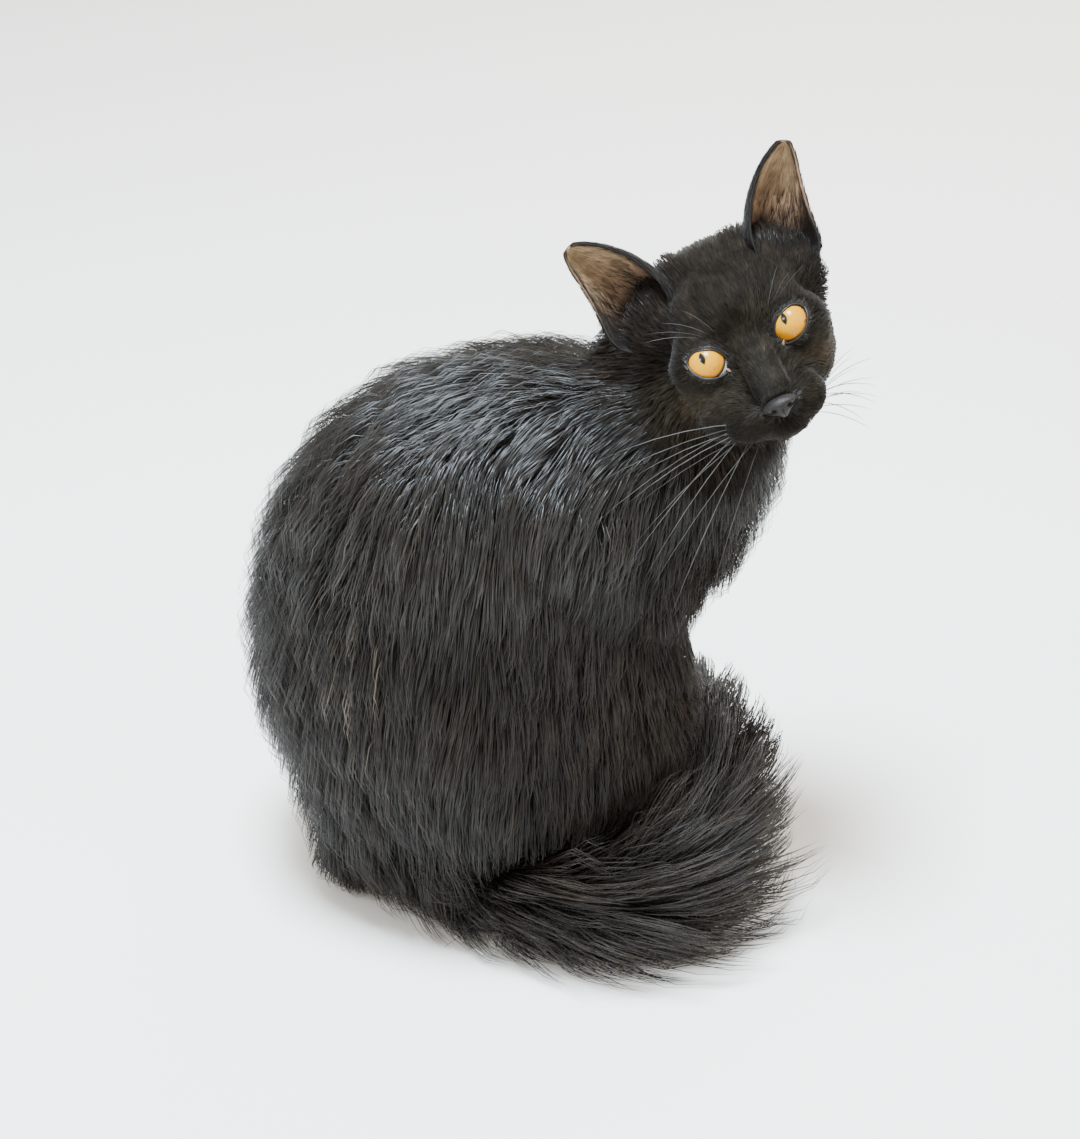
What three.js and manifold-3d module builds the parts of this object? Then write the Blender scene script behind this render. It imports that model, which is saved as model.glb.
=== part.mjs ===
// A long-haired black cat, life size, sitting on its haunches with its tail drawn round its right side,
// and looking back over its right shoulder with its head tilted.
//
// Millimetres, +Z up. The body faces -Y, so +X is the cat's left. Everything is laid out from a point on
// the floor under the chest, and moved at the end to put the origin at the middle of the bounding box.
//
// The outer surface, out to the tips of the coat, is modelled whole: every part of the body is a field
// made of egg-shaped and tapered masses, and all the fields melt into one. That one surface is then
// parted by thin cuts where one part's own masses give way to the next part's.
import * as THREE from 'three';
import { mergeVertices } from 'three/addons/utils/BufferGeometryUtils.js';
import { SimplifyModifier } from 'three/addons/modifiers/SimplifyModifier.js';
import Module from 'manifold-3d';

const wasm = await Module();
wasm.setup();

// ---------------------------------------------------------------------------------------------
// Driving dimensions

const CUT = 0.9; // width of the cut between two neighbouring parts
const GAP = 0.5; // room round the eyes and the nose leather
const BORDER_CELL = 12; // size of the facets where two parts meet
const MELT = 26; // how far round a crease two neighbouring parts flow into each other
const REACH = 330; // half the side of a cube that holds the whole cat

const LEFT = 1;
const RIGHT = -1;

const v = (x, y, z) => new THREE.Vector3(x, y, z);
const degrees = THREE.MathUtils.degToRad;

// The back bends to the right: the hindquarters and the forequarters each have their own middle and heading.
const hindquarters = { middle: v(26, 52, 0), heading: degrees(-12) };
const forequarters = { middle: v(2, -18, 0), heading: degrees(-22) };

// A landmark `across` to the left, `ahead` and `up` of a quarter's middle.
function from(quarter, across, ahead, up) {
  return v(across, -ahead, up).applyAxisAngle(v(0, 0, 1), quarter.heading).add(quarter.middle);
}

// Joints and landmarks of the sitting body. `side` is LEFT or RIGHT.
const body = {
  rump: from(hindquarters, 0, -4, 112),
  loin: from(hindquarters, 0, 6, 165),
  belly: from(hindquarters, 0, 40, 105),
  back: v(14, 22, 193),
  withers: from(forequarters, 0, -10, 199),
  chest: from(forequarters, 0, 8, 160),
  hip: (side) => from(hindquarters, side * 50, 10, 85),
  knee: (side) => from(hindquarters, side * 62, 76, 88),
  hock: (side) => (side === LEFT ? from(hindquarters, 16, -31, 20) : from(hindquarters, -30, 8, 20)),
  hindPaw: (side) => from(hindquarters, side * 56, 92, 15),
  shoulder: (side) => from(forequarters, side * 38, 8, 200),
  elbow: (side) => from(forequarters, side * 40, 8, 125),
  wrist: (side) => from(forequarters, side * 28, 40, 45),
  forePaw: (side) => from(forequarters, side * 24, 56, 15),
};

const head = {
  centre: v(-77.9, -45.2, 289.8),
  turn: new THREE.Euler(degrees(-13.5), degrees(-25.7), degrees(-132.3), 'ZXY'),
};
const eye = { radius: 10.5, middle: (side) => v(side * 19.4, -27.5, 1) };
// The right ear is turned a little further out than the left, and opens wider to the front.
const ear = {
  foot: (side) => v(side === LEFT ? 29 : -32.5, 4, 26),
  tip: (side) => v(side === LEFT ? 50.5 : -51, 2, 67),
  opening: (side) => v(side * 0.3, -1, -0.1),
  radius: (side) => (side === LEFT ? 15.5 : 18),
  rooted: 0.35, // share of its height by which the shell would carry on below its foot
  thickness: 2.4,
};

const nose = { middle: v(0, -56.5, -20), radii: [7.5, 4.5, 5] };

const neck = { root: v(-6, -14, 199), nape: v(-52, -40, 240), ruff: v(-52, -46, 212) };

// The tail's middle line and its radius, coat included, from root to tip.
const tailLine = [
  [v(32, 74, 62), 27],
  [v(14, 71, 44), 26],
  [v(-3, 60, 30), 26],
  [v(-29, 51, 27), 27],
  [v(-58, 44, 28), 28],
  [v(-80, 28, 31), 31],
  [v(-90, 2, 35), 36],
  [v(-76, -36, 36), 36],
  [v(-45, -72, 35), 32],
  [v(-16, -100, 33), 26],
  [v(10, -126, 31), 19],
  [v(21, -138, 19), 13],
];

// ---------------------------------------------------------------------------------------------
// Masses: each returns how far a point is outside it, negative inside

function egg(centre, [rx, ry, rz], turn = [0, 0, 0]) {
  const inward = new THREE.Quaternion()
    .setFromEuler(new THREE.Euler(...turn.map(degrees)))
    .invert();
  const p = v(0, 0, 0);
  return (x, y, z) => {
    p.set(x - centre.x, y - centre.y, z - centre.z).applyQuaternion(inward);
    const near = Math.hypot(p.x / rx, p.y / ry, p.z / rz);
    const slope = Math.hypot(p.x / rx ** 2, p.y / ry ** 2, p.z / rz ** 2);
    return slope < 1e-9 ? -Math.min(rx, ry, rz) : (near * (near - 1)) / slope;
  };
}

function taper(a, b, ra, rb) {
  const ab = b.clone().sub(a);
  const length2 = ab.lengthSq();
  const ap = v(0, 0, 0);
  return (x, y, z) => {
    ap.set(x - a.x, y - a.y, z - a.z);
    const t = THREE.MathUtils.clamp(ap.dot(ab) / length2, 0, 1);
    return Math.hypot(ap.x - ab.x * t, ap.y - ab.y * t, ap.z - ab.z * t) - (ra + (rb - ra) * t);
  };
}

// The smaller of two distances, rounded where they meet within `soft` of each other.
function melt(a, b, soft) {
  const h = Math.max(soft - Math.abs(a - b), 0) / soft;
  return Math.min(a, b) - (h * h * soft) / 4;
}

function together(masses, soft) {
  return (x, y, z) => {
    let d = masses[0](x, y, z);
    for (let i = 1; i < masses.length; i++) d = melt(d, masses[i](x, y, z), soft);
    return d;
  };
}

// The same field, moved to `centre` and turned.
function posed(field, centre, turn) {
  const inward = new THREE.Quaternion().setFromEuler(turn).invert();
  const p = v(0, 0, 0);
  return (x, y, z) => {
    p.set(x - centre.x, y - centre.y, z - centre.z).applyQuaternion(inward);
    return field(p.x, p.y, p.z);
  };
}

const pair = (make) => [make(LEFT), make(RIGHT)];

// ---------------------------------------------------------------------------------------------
// Parts of the body

function trunkField() {
  return together(
    [
      egg(body.rump, [86, 62, 82]),
      egg(body.loin, [80, 72, 84]),
      egg(body.back, [82, 82, 76]),
      egg(body.withers, [62, 58, 54]),
      egg(body.chest, [56, 50, 80]),
      egg(body.belly, [70, 70, 80]),
    ],
    24,
  );
}

function neckField() {
  return together([taper(neck.root, neck.nape, 54, 40), egg(neck.ruff, [39, 38, 52])], 26);
}

function headField() {
  const skull = egg(v(0, 10, 9), [36, 38, 34.5]);
  const forehead = egg(v(0, -14, 12), [28, 24, 24]);
  const bridge = taper(v(0, -22, 4), v(0, -47, -13), 16, 11);
  const midface = egg(v(0, -24, -11), [27, 24, 20]);
  const jaw = egg(v(0, -20, -23), [21, 23, 15]);
  const chin = egg(v(0, -41, -32), [10, 11, 7]);
  const whiskerPad = (s) => egg(v(s * 9.5, -43.5, -24), [12, 13, 10]);
  const cheek = (s) => egg(v(s * 18, -4, -9), [18, 26, 23]);
  const crown = (s) => egg(v(s * 17, 7, 28.5), [14.5, 14, 17]);
  const earBase = (s) => egg(v(s * 32, 5, 17), [16, 14, 20]);
  const masses = [skull, forehead, bridge, midface, jaw, chin];
  for (const make of [whiskerPad, cheek, crown, earBase]) masses.push(...pair(make));
  return posed(together(masses, 9), head.centre, head.turn);
}

function hindLegField(side) {
  return together(
    [
      egg(body.hip(side).lerp(body.knee(side), 0.5), [34, 62, 64]),
      taper(body.knee(side), body.hock(side), 30, 20),
      taper(body.hock(side), body.hindPaw(side), 20, 17),
      egg(body.hindPaw(side), [20, 30, 17]),
    ],
    24,
  );
}

function foreLegField(side) {
  return together(
    [
      egg(body.shoulder(side), [30, 38, 52]),
      taper(body.shoulder(side), body.elbow(side), 32, 30),
      taper(body.elbow(side), body.wrist(side), 28, 19),
      taper(body.wrist(side), body.forePaw(side), 18, 16),
      egg(body.forePaw(side), [18, 26, 16]),
    ],
    20,
  );
}

// At the bend the long hair lies out over the floor on one side and leans up against the knee on the other.
const tailPlumes = [egg(v(-100, -12, 17), [34, 46, 18]), egg(v(-60, -36, 56), [25, 32, 34])];

function tailField(first, last, plumes = []) {
  const lengths = [...plumes];
  for (let i = first; i < last; i++) {
    const [[a, ra], [b, rb]] = [tailLine[i], tailLine[i + 1]];
    lengths.push(taper(a.clone().lerp(b, 0.08), b.clone().lerp(a, 0.08), ra, rb));
  }
  return together(lengths, 12);
}

const parts = [
  { name: 'head', field: headField(), cell: 7.2 },
  { name: 'neck', field: neckField(), cell: 15 },
  { name: 'tail_tip', field: tailField(8, 11), cell: 13 },
  { name: 'tail_bend', field: tailField(5, 8, tailPlumes), cell: 14 },
  { name: 'tail_middle', field: tailField(3, 5), cell: 14 },
  { name: 'tail_root', field: tailField(0, 3), cell: 14 },
  { name: 'hind_leg_left', field: hindLegField(LEFT), cell: 13.5 },
  { name: 'hind_leg_right', field: hindLegField(RIGHT), cell: 13.5 },
  { name: 'fore_leg_left', field: foreLegField(LEFT), cell: 13 },
  { name: 'fore_leg_right', field: foreLegField(RIGHT), cell: 12 },
  { name: 'trunk', field: trunkField(), cell: 19 },
];

// The whole surface, with its underside trimmed by the floor elsewhere.
const whole = together(
  parts.map((part) => part.field),
  MELT,
);

// ---------------------------------------------------------------------------------------------
// Surfaces

// A closed mesh of the points where `field` is zero inside `box`, one vertex for each grid cell it crosses.
function surfaceOf(field, box, cell) {
  const size = box.getSize(v(0, 0, 0));
  const [nx, ny, nz] = size.toArray().map((s) => Math.ceil(s / cell) + 3);
  const origin = box.min.clone().addScalar(-cell);
  const at = (i, j, k) => i + nx * (j + ny * k);
  const values = new Float32Array(nx * ny * nz).fill(1);
  for (let k = 1; k < nz - 1; k++)
    for (let j = 1; j < ny - 1; j++)
      for (let i = 1; i < nx - 1; i++)
        values[at(i, j, k)] = field(origin.x + i * cell, origin.y + j * cell, origin.z + k * cell);

  const corners = [];
  for (let c = 0; c < 8; c++) corners.push([c & 1, (c >> 1) & 1, c >> 2]);
  const edges = [];
  for (let a = 0; a < 8; a++)
    for (const bit of [1, 2, 4]) if (!(a & bit)) edges.push([corners[a], corners[a | bit]]);

  const positions = [];
  const vertexOf = new Int32Array(nx * ny * nz).fill(-1);
  for (let k = 0; k < nz - 1; k++)
    for (let j = 0; j < ny - 1; j++)
      for (let i = 0; i < nx - 1; i++) {
        const sum = v(0, 0, 0);
        let crossings = 0;
        for (const [a, b] of edges) {
          const va = values[at(i + a[0], j + a[1], k + a[2])];
          const vb = values[at(i + b[0], j + b[1], k + b[2])];
          if (va < 0 === vb < 0) continue;
          const t = va / (va - vb);
          sum.add(v(...a).lerp(v(...b), t));
          crossings++;
        }
        if (!crossings) continue;
        vertexOf[at(i, j, k)] = positions.length / 3;
        const p = sum.divideScalar(crossings).add(v(i, j, k)).multiplyScalar(cell).add(origin);
        positions.push(p.x, p.y, p.z);
      }

  // Four cells share each grid edge that the surface crosses: their vertices make two triangles.
  const triangles = [];
  const steps = [
    [1, 0, 0],
    [0, 1, 0],
    [0, 0, 1],
  ];
  for (let k = 0; k < nz - 1; k++)
    for (let j = 0; j < ny - 1; j++)
      for (let i = 0; i < nx - 1; i++)
        for (let axis = 0; axis < 3; axis++) {
          const [d, e, f] = [steps[axis], steps[(axis + 1) % 3], steps[(axis + 2) % 3]];
          const here = values[at(i, j, k)] < 0;
          const next = values[at(i + d[0], j + d[1], k + d[2])] < 0;
          if (here === next) continue;
          const cellAt = (m, n) =>
            vertexOf[at(i - m * e[0] - n * f[0], j - m * e[1] - n * f[1], k - m * e[2] - n * f[2])];
          const quad = [cellAt(0, 0), cellAt(1, 0), cellAt(1, 1), cellAt(0, 1)];
          if (!here) quad.reverse();
          const [p, q, r, t] = quad.map((n) => v(...positions.slice(3 * n, 3 * n + 3)));
          if (p.distanceTo(r) > q.distanceTo(t)) quad.push(quad.shift());
          triangles.push(quad[0], quad[1], quad[2], quad[0], quad[2], quad[3]);
        }

  const geometry = new THREE.BufferGeometry();
  geometry.setAttribute('position', new THREE.Float32BufferAttribute(positions, 3));
  geometry.setIndex(triangles);
  return geometry;
}

function solidOf(geometry) {
  const bare = geometry.clone();
  bare.deleteAttribute('normal');
  bare.deleteAttribute('uv');
  const merged = mergeVertices(bare, 1e-4);
  return new wasm.Manifold(
    new wasm.Mesh({
      numProp: 3,
      vertProperties: new Float32Array(merged.attributes.position.array),
      triVerts: new Uint32Array(merged.index.array),
    }),
  );
}

function geometryOf(solid) {
  const { vertProperties, triVerts } = solid.getMesh();
  const geometry = new THREE.BufferGeometry();
  geometry.setAttribute('position', new THREE.BufferAttribute(new Float32Array(vertProperties), 3));
  geometry.setIndex(new THREE.BufferAttribute(new Uint32Array(triVerts), 1));
  return geometry;
}

// A box round the points of a coarse grid that are inside `field`, with some room to spare.
function boxOf(field) {
  const step = 12;
  const box = new THREE.Box3();
  for (let x = -REACH; x <= REACH; x += step)
    for (let y = -REACH; y <= REACH; y += step)
      for (let z = -40; z <= 2 * REACH; z += step) if (field(x, y, z) < step) box.expandByPoint(v(x, y, z));
  box.expandByScalar(MELT);
  for (const corner of [box.min, box.max]) corner.divideScalar(BORDER_CELL).floor().multiplyScalar(BORDER_CELL);
  return box;
}

const floor = solidOf(
  new THREE.BoxGeometry(4 * REACH, 4 * REACH, REACH).translate(0, 0, -REACH / 2),
);

// The closed surface round the points where a part's field is deeper than that of every later part.
function borderOf(part) {
  const later = parts.slice(parts.indexOf(part) + 1).map((other) => other.field);
  const lead = (x, y, z) => {
    let nearest = Infinity;
    for (const other of later) nearest = Math.min(nearest, other(x, y, z));
    return part.field(x, y, z) - nearest;
  };
  return surfaceOf(lead, boxOf(part.field), BORDER_CELL);
}

// The same mesh with every vertex moved outwards along its normal.
function swollen(geometry, by) {
  const moved = geometry.clone();
  moved.computeVertexNormals();
  const { position, normal } = moved.attributes;
  for (let i = 0; i < position.count; i++) {
    const p = v(0, 0, 0).fromBufferAttribute(position, i);
    p.addScaledVector(v(0, 0, 0).fromBufferAttribute(normal, i), by);
    position.setXYZ(i, p.x, p.y, p.z);
  }
  return moved;
}

// The same solid without the share of its vertices that the cuts leave and its shape can spare.
async function plain(solid, share) {
  const merged = mergeVertices(geometryOf(largest(solid)), 1e-3);
  const surplus = Math.round(share * merged.attributes.position.count);
  return solidOf(await new SimplifyModifier().modify(merged, surplus));
}

// The parts are cut off the whole one after another, in the order of the list. What is left is the last.
async function shares() {
  const taken = [];
  const result = {};
  for (const part of parts) {
    const box = boxOf(part.field);
    let share = solidOf(surfaceOf(whole, box, part.cell));
    for (const earlier of taken) if (earlier.box.intersectsBox(box)) share = share.subtract(earlier.solid);
    if (part !== parts[parts.length - 1]) {
      const border = borderOf(part);
      share = share.intersect(solidOf(border));
      taken.push({ box, solid: solidOf(swollen(border, CUT)) });
    }
    result[part.name] = await plain(share.subtract(floor), part.name === 'head' ? 0.4 : 0.5);
  }
  return result;
}

function largest(solid) {
  return solid.decompose().reduce((most, piece) => (piece.volume() > most.volume() ? piece : most));
}

// ---------------------------------------------------------------------------------------------
// Eyes, nose leather and ears, in the head's own directions

const toHead = new THREE.Matrix4().compose(
  head.centre,
  new THREE.Quaternion().setFromEuler(head.turn),
  v(1, 1, 1),
);

function ball(middle, [rx, ry, rz], detail, grow = 0) {
  return new THREE.IcosahedronGeometry(1, detail)
    .scale(rx + grow, ry + grow, rz + grow)
    .translate(...middle.toArray())
    .applyMatrix4(toHead);
}

const eyeball = (side, grow) => ball(eye.middle(side), [eye.radius, eye.radius, eye.radius], 2, grow);
const noseLeather = (grow) => ball(nose.middle, nose.radii, 1, grow);

// A cupped leaf: rings of an open gutter that narrow from the foot to the tip, closed round the rim.
function earShell(side) {
  const [foot, tip] = [ear.foot(side), ear.tip(side)];
  const along = tip.clone().sub(foot);
  const front = ear.opening(side).clone();
  front.addScaledVector(along, -front.dot(along) / along.lengthSq()).normalize();
  const across = along.clone().normalize().cross(front);
  const ROWS = 8;
  const COLUMNS = 6;
  const positions = [];
  for (let i = 0; i <= ROWS; i++) {
    const s = THREE.MathUtils.lerp(-ear.rooted, 1, i / ROWS);
    const radius = ear.radius(side) * (s > 0 ? (1 - s) ** 0.66 : 1 + 1.3 * s) + 1.8;
    const spread = degrees(108 - 34 * s);
    const lean = -3 * Math.sin(Math.PI * Math.max(s, 0));
    for (const skin of [0, 1])
      for (let j = 0; j <= COLUMNS; j++) {
        const angle = spread * ((2 * j) / COLUMNS - 1);
        const r = radius - skin * Math.min(ear.thickness, 0.6 * radius);
        const p = foot.clone().addScaledVector(along, s);
        p.addScaledVector(front, -Math.cos(angle) * r + radius * 0.5 + lean);
        p.addScaledVector(across, Math.sin(angle) * r);
        positions.push(p.x, p.y, p.z);
      }
  }
  const at = (i, skin, j) => (2 * i + skin) * (COLUMNS + 1) + j;
  const triangles = [];
  const quad = (a, b, c, d) => triangles.push(a, c, b, a, d, c);
  for (let i = 0; i < ROWS; i++) {
    for (let j = 0; j < COLUMNS; j++) {
      quad(at(i, 0, j), at(i, 0, j + 1), at(i + 1, 0, j + 1), at(i + 1, 0, j));
      quad(at(i, 1, j + 1), at(i, 1, j), at(i + 1, 1, j), at(i + 1, 1, j + 1));
    }
    quad(at(i, 1, 0), at(i, 0, 0), at(i + 1, 0, 0), at(i + 1, 1, 0));
    quad(at(i, 0, COLUMNS), at(i, 1, COLUMNS), at(i + 1, 1, COLUMNS), at(i + 1, 0, COLUMNS));
  }
  for (let j = 0; j < COLUMNS; j++) {
    quad(at(0, 1, j), at(0, 1, j + 1), at(0, 0, j + 1), at(0, 0, j));
    quad(at(ROWS, 0, j), at(ROWS, 0, j + 1), at(ROWS, 1, j + 1), at(ROWS, 1, j));
  }
  const geometry = new THREE.BufferGeometry();
  geometry.setAttribute('position', new THREE.Float32BufferAttribute(positions, 3));
  geometry.setIndex(triangles);
  return geometry.applyMatrix4(toHead);
}

// ---------------------------------------------------------------------------------------------
// The cat

const coat = (color) => new THREE.MeshStandardMaterial({ color, roughness: 0.6, metalness: 0 });
const colours = { coat: 0x17130f, ear: 0x3a2a22, eye: 0xd89a3a, nose: 0x3b332f };

const solids = await shares();
const headBox = boxOf(parts.find((part) => part.name === 'head').field);
const roundHead = solidOf(surfaceOf((x, y, z) => whole(x, y, z) - CUT, headBox, 7.2));
for (const [name, side] of [
  ['left', LEFT],
  ['right', RIGHT],
]) {
  solids.head = solids.head.subtract(solidOf(eyeball(side, GAP)));
  solids[`eye_${name}`] = solidOf(eyeball(side, 0));
  solids[`ear_${name}`] = solidOf(earShell(side)).subtract(roundHead);
}
solids.head = solids.head.subtract(solidOf(noseLeather(GAP)));
solids.nose = solidOf(noseLeather(0));

const cat = new THREE.Group();
cat.name = 'cat';
for (const [name, solid] of Object.entries(solids)) {
  const geometry = geometryOf(largest(solid));
  const mesh = new THREE.Mesh(geometry, coat(colours[name.split('_')[0]] ?? colours.coat));
  mesh.name = name;
  cat.add(mesh);
}

const middle = new THREE.Box3().setFromObject(cat).getCenter(v(0, 0, 0));
for (const mesh of cat.children) mesh.geometry.translate(-middle.x, -middle.y, 0);

export default cat;
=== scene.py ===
"""A long-haired black cat, life size, sitting on its haunches and looking back over its right shoulder.

Metres, +Z up. The body faces -Y, so +X is the cat's left. The body is laid out in millimetres from a point
on the floor under the chest, as the solids are, and the head has axes of its own: x to the cat's left,
-y out of its face, z up through its crown.
"""

import math

import bmesh
import bpy
import numpy as np
from mathutils import Matrix, Vector
from mathutils.bvhtree import BVHTree
from mathutils.kdtree import KDTree


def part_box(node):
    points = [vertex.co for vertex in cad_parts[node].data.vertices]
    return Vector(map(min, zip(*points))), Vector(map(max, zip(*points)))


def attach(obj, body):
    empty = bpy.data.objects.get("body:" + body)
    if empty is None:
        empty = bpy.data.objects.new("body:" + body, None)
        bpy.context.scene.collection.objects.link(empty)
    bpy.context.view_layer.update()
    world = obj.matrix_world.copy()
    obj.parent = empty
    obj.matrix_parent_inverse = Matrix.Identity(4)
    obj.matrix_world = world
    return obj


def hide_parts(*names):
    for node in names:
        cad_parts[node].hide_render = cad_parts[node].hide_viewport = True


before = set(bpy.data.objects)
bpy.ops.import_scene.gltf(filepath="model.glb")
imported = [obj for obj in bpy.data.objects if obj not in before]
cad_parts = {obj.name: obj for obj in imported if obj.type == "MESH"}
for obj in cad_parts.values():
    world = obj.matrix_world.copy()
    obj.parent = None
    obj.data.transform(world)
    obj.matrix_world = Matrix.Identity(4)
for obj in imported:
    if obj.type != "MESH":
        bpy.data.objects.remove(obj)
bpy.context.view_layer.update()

MM = 0.001
LEFT, RIGHT = 1, -1
SIDES = (("left", LEFT), ("right", RIGHT))
chance = np.random.default_rng(7)

# ---------------------------------------------------------------------------------------------
# Driving dimensions, in millimetres and degrees

EYE_RADIUS = 10.5
HEAD_TURN = (-13.5, -25.7, -132.3)  # about the head's own x and y, then about the upright
HEAD_FROM_CHEST = (-77.9, -45.2, 289.8)
HINDQUARTERS = ((26, 52), -12)  # middle on the floor, and heading
FOREQUARTERS = ((2, -18), -22)

BODY_VOXEL = 5.0
SKIN_VOXEL = 2.0
FACE_DRAWN_IN = 4.5  # the solid's face lies further in, under the masses of the head


def eye_middle(side):
    return Vector((side * 19.4, -27.5, 1))


def unit(v):
    v = np.asarray(v, float)
    return v / np.maximum(np.linalg.norm(v, axis=-1, keepdims=True), 1e-9)


def smooth_step(a, b, x):
    t = np.clip((x - a) / (b - a), 0, 1)
    return t * t * (3 - 2 * t)


def bell(x, middle, width):
    return np.exp(-(((x - middle) / width) ** 2))


def towards(colour, other, share):
    return colour * (1 - share) + other * share


# ---------------------------------------------------------------------------------------------
# Where things are

head_turn = (
    Matrix.Rotation(math.radians(HEAD_TURN[2]), 3, "Z")
    @ Matrix.Rotation(math.radians(HEAD_TURN[0]), 3, "X")
    @ Matrix.Rotation(math.radians(HEAD_TURN[1]), 3, "Y")
)
eye_low, eye_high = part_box("eye_left")
head_middle = (eye_low + eye_high) / 2 - head_turn @ eye_middle(LEFT) * MM
OFFSET = head_middle - Vector(HEAD_FROM_CHEST) * MM  # from the layout's point to the middle of the box
HEAD = Matrix.Translation(head_middle) @ head_turn.to_4x4()
HEAD_AXES = np.array(head_turn)
HEAD_MIDDLE = np.array(head_middle)


def at(x, y, z):
    """A point of the body's layout, in metres."""
    return Vector((x, y, z)) * MM + OFFSET


def of_quarter(quarter, across, ahead, up):
    """A point `across` to the left, `ahead` and `up` of a quarter's middle, in the layout's millimetres."""
    (x, y), heading = quarter
    c, s = math.cos(math.radians(heading)), math.sin(math.radians(heading))
    return Vector((x + across * c + ahead * s, y + across * s - ahead * c, up))


def along_quarter(quarter, across, ahead, up):
    """A direction in a quarter's own axes."""
    return of_quarter(((0, 0), quarter[1]), across, ahead, up)


def to_head(points):
    """World metres to the head's millimetres."""
    return (points - HEAD_MIDDLE) @ HEAD_AXES / MM


def from_head(points):
    return points * MM @ HEAD_AXES.T + HEAD_MIDDLE


# ---------------------------------------------------------------------------------------------
# Small helpers for meshes


def deselect():
    bpy.ops.object.select_all(action="DESELECT")


def only(obj):
    deselect()
    obj.select_set(True)
    bpy.context.view_layer.objects.active = obj


def in_scene(name, data):
    obj = bpy.data.objects.new(name, data)
    bpy.context.scene.collection.objects.link(obj)
    return obj


def new_piece(name, verts, faces):
    mesh = bpy.data.meshes.new(name)
    mesh.from_pydata([tuple(v) for v in verts], [], [tuple(f) for f in faces])
    return in_scene(name, mesh)


def read(items, what, width=1, kind=np.float32):
    """What each of a mesh's items has, as an array with a row for each."""
    values = np.empty(len(items) * width, kind)
    items.foreach_get(what, values)
    return values.reshape(-1, width) if width > 1 else values


def points_of(obj):
    return read(obj.data.vertices, "co", 3).astype(float)


def normals_of(obj):
    return read(obj.data.vertex_normals, "vector", 3).astype(float)


def put_points(obj, co):
    obj.data.vertices.foreach_set("co", np.ascontiguousarray(co, np.float32).ravel())
    obj.data.update()


def apply_modifier(obj, kind, **settings):
    only(obj)
    modifier = obj.modifiers.new(kind.title(), kind)
    for key, value in settings.items():
        setattr(modifier, key, value)
    bpy.ops.object.modifier_apply(modifier=modifier.name)


def edit_faces_of(obj, chosen):
    """Edit mode, with the faces selected that have all their points in `chosen`, a mask."""
    only(obj)
    bpy.ops.object.mode_set(mode="EDIT")
    bpy.ops.mesh.select_all(action="DESELECT")
    bpy.ops.object.mode_set(mode="OBJECT")
    loops = read(obj.data.loops, "vertex_index", kind=np.int32)
    inside = np.logical_and.reduceat(chosen[loops], read(obj.data.polygons, "loop_start", kind=np.int32))
    bpy.ops.object.mode_set(mode="EDIT")
    edit = bmesh.from_edit_mesh(obj.data)
    edit.faces.ensure_lookup_table()
    for face, pick in zip(edit.faces, inside):
        if pick:
            face.select_set(True)
    bmesh.update_edit_mesh(obj.data)


def joined(objects, name):
    only(objects[0])
    for o in objects:
        o.select_set(True)
    bpy.ops.object.join()
    obj = bpy.context.view_layer.objects.active
    obj.name = obj.data.name = name
    return obj


def placed(obj, matrix):
    """The object back at the origin, with its place in its mesh."""
    obj.data.transform(matrix @ obj.matrix_world)
    obj.matrix_world = Matrix.Identity(4)
    return obj


def egg(middle, radii, turn=(0, 0, 0), detail=4):
    """An egg-shaped mass, in millimetres."""
    deselect()
    bpy.ops.mesh.primitive_ico_sphere_add(
        subdivisions=detail,
        radius=MM,
        location=Vector(middle) * MM,
        rotation=[math.radians(a) for a in turn],
    )
    ball = bpy.context.active_object
    ball.scale = radii
    bpy.ops.object.transform_apply(location=True, rotation=True, scale=True)
    return ball


def taper(a, b, ra, rb, detail=3):
    """A limb of round masses that run from a to b."""
    a, b = Vector(a), Vector(b)
    steps = max(2, round((b - a).length / (0.3 * min(ra, rb))) + 1)
    return [
        egg(a.lerp(b, t), [ra + (rb - ra) * t] * 3, detail=detail)
        for t in np.linspace(0, 1, steps)
    ]


# ---------------------------------------------------------------------------------------------
# Floor, light and camera

deselect()
bpy.ops.mesh.primitive_plane_add(size=9, location=(0, 0, 0))
floor = bpy.context.active_object
floor.name = "floor"


def plain_material(name, colour, roughness, shine=0.5):
    material = bpy.data.materials.new(name)
    material.use_nodes = True
    shader = material.node_tree.nodes["Principled BSDF"]
    shader.inputs["Base Color"].default_value = (*colour, 1)
    shader.inputs["Roughness"].default_value = roughness
    shader.inputs["Specular IOR Level"].default_value = shine
    return material, shader


def ranged(tree, value, low, high, to_low=0, to_high=1):
    """A value carried from one range into another."""
    node = tree.nodes.new("ShaderNodeMapRange")
    for socket, end in (("From Min", low), ("From Max", high), ("To Min", to_low), ("To Max", to_high)):
        node.inputs[socket].default_value = end
    tree.links.new(value, node.inputs["Value"])
    return node.outputs["Result"]


def mixed(tree, share, first, second, kind="MIX"):
    """Two colours mixed. Each of the three is a number, a colour or another node's output."""
    node = tree.nodes.new("ShaderNodeMix")
    node.data_type, node.blend_type = "RGBA", kind
    for socket, value in ((0, share), (6, first), (7, second)):
        if isinstance(value, (int, tuple)):
            node.inputs[socket].default_value = value
        else:
            tree.links.new(value, node.inputs[socket])
    return node.outputs[2]


def noise(tree, place, scale, detail):
    node = tree.nodes.new("ShaderNodeTexNoise")
    node.inputs["Scale"].default_value = scale
    node.inputs["Detail"].default_value = detail
    tree.links.new(place, node.inputs["Vector"])
    return node.outputs["Fac"]


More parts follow.
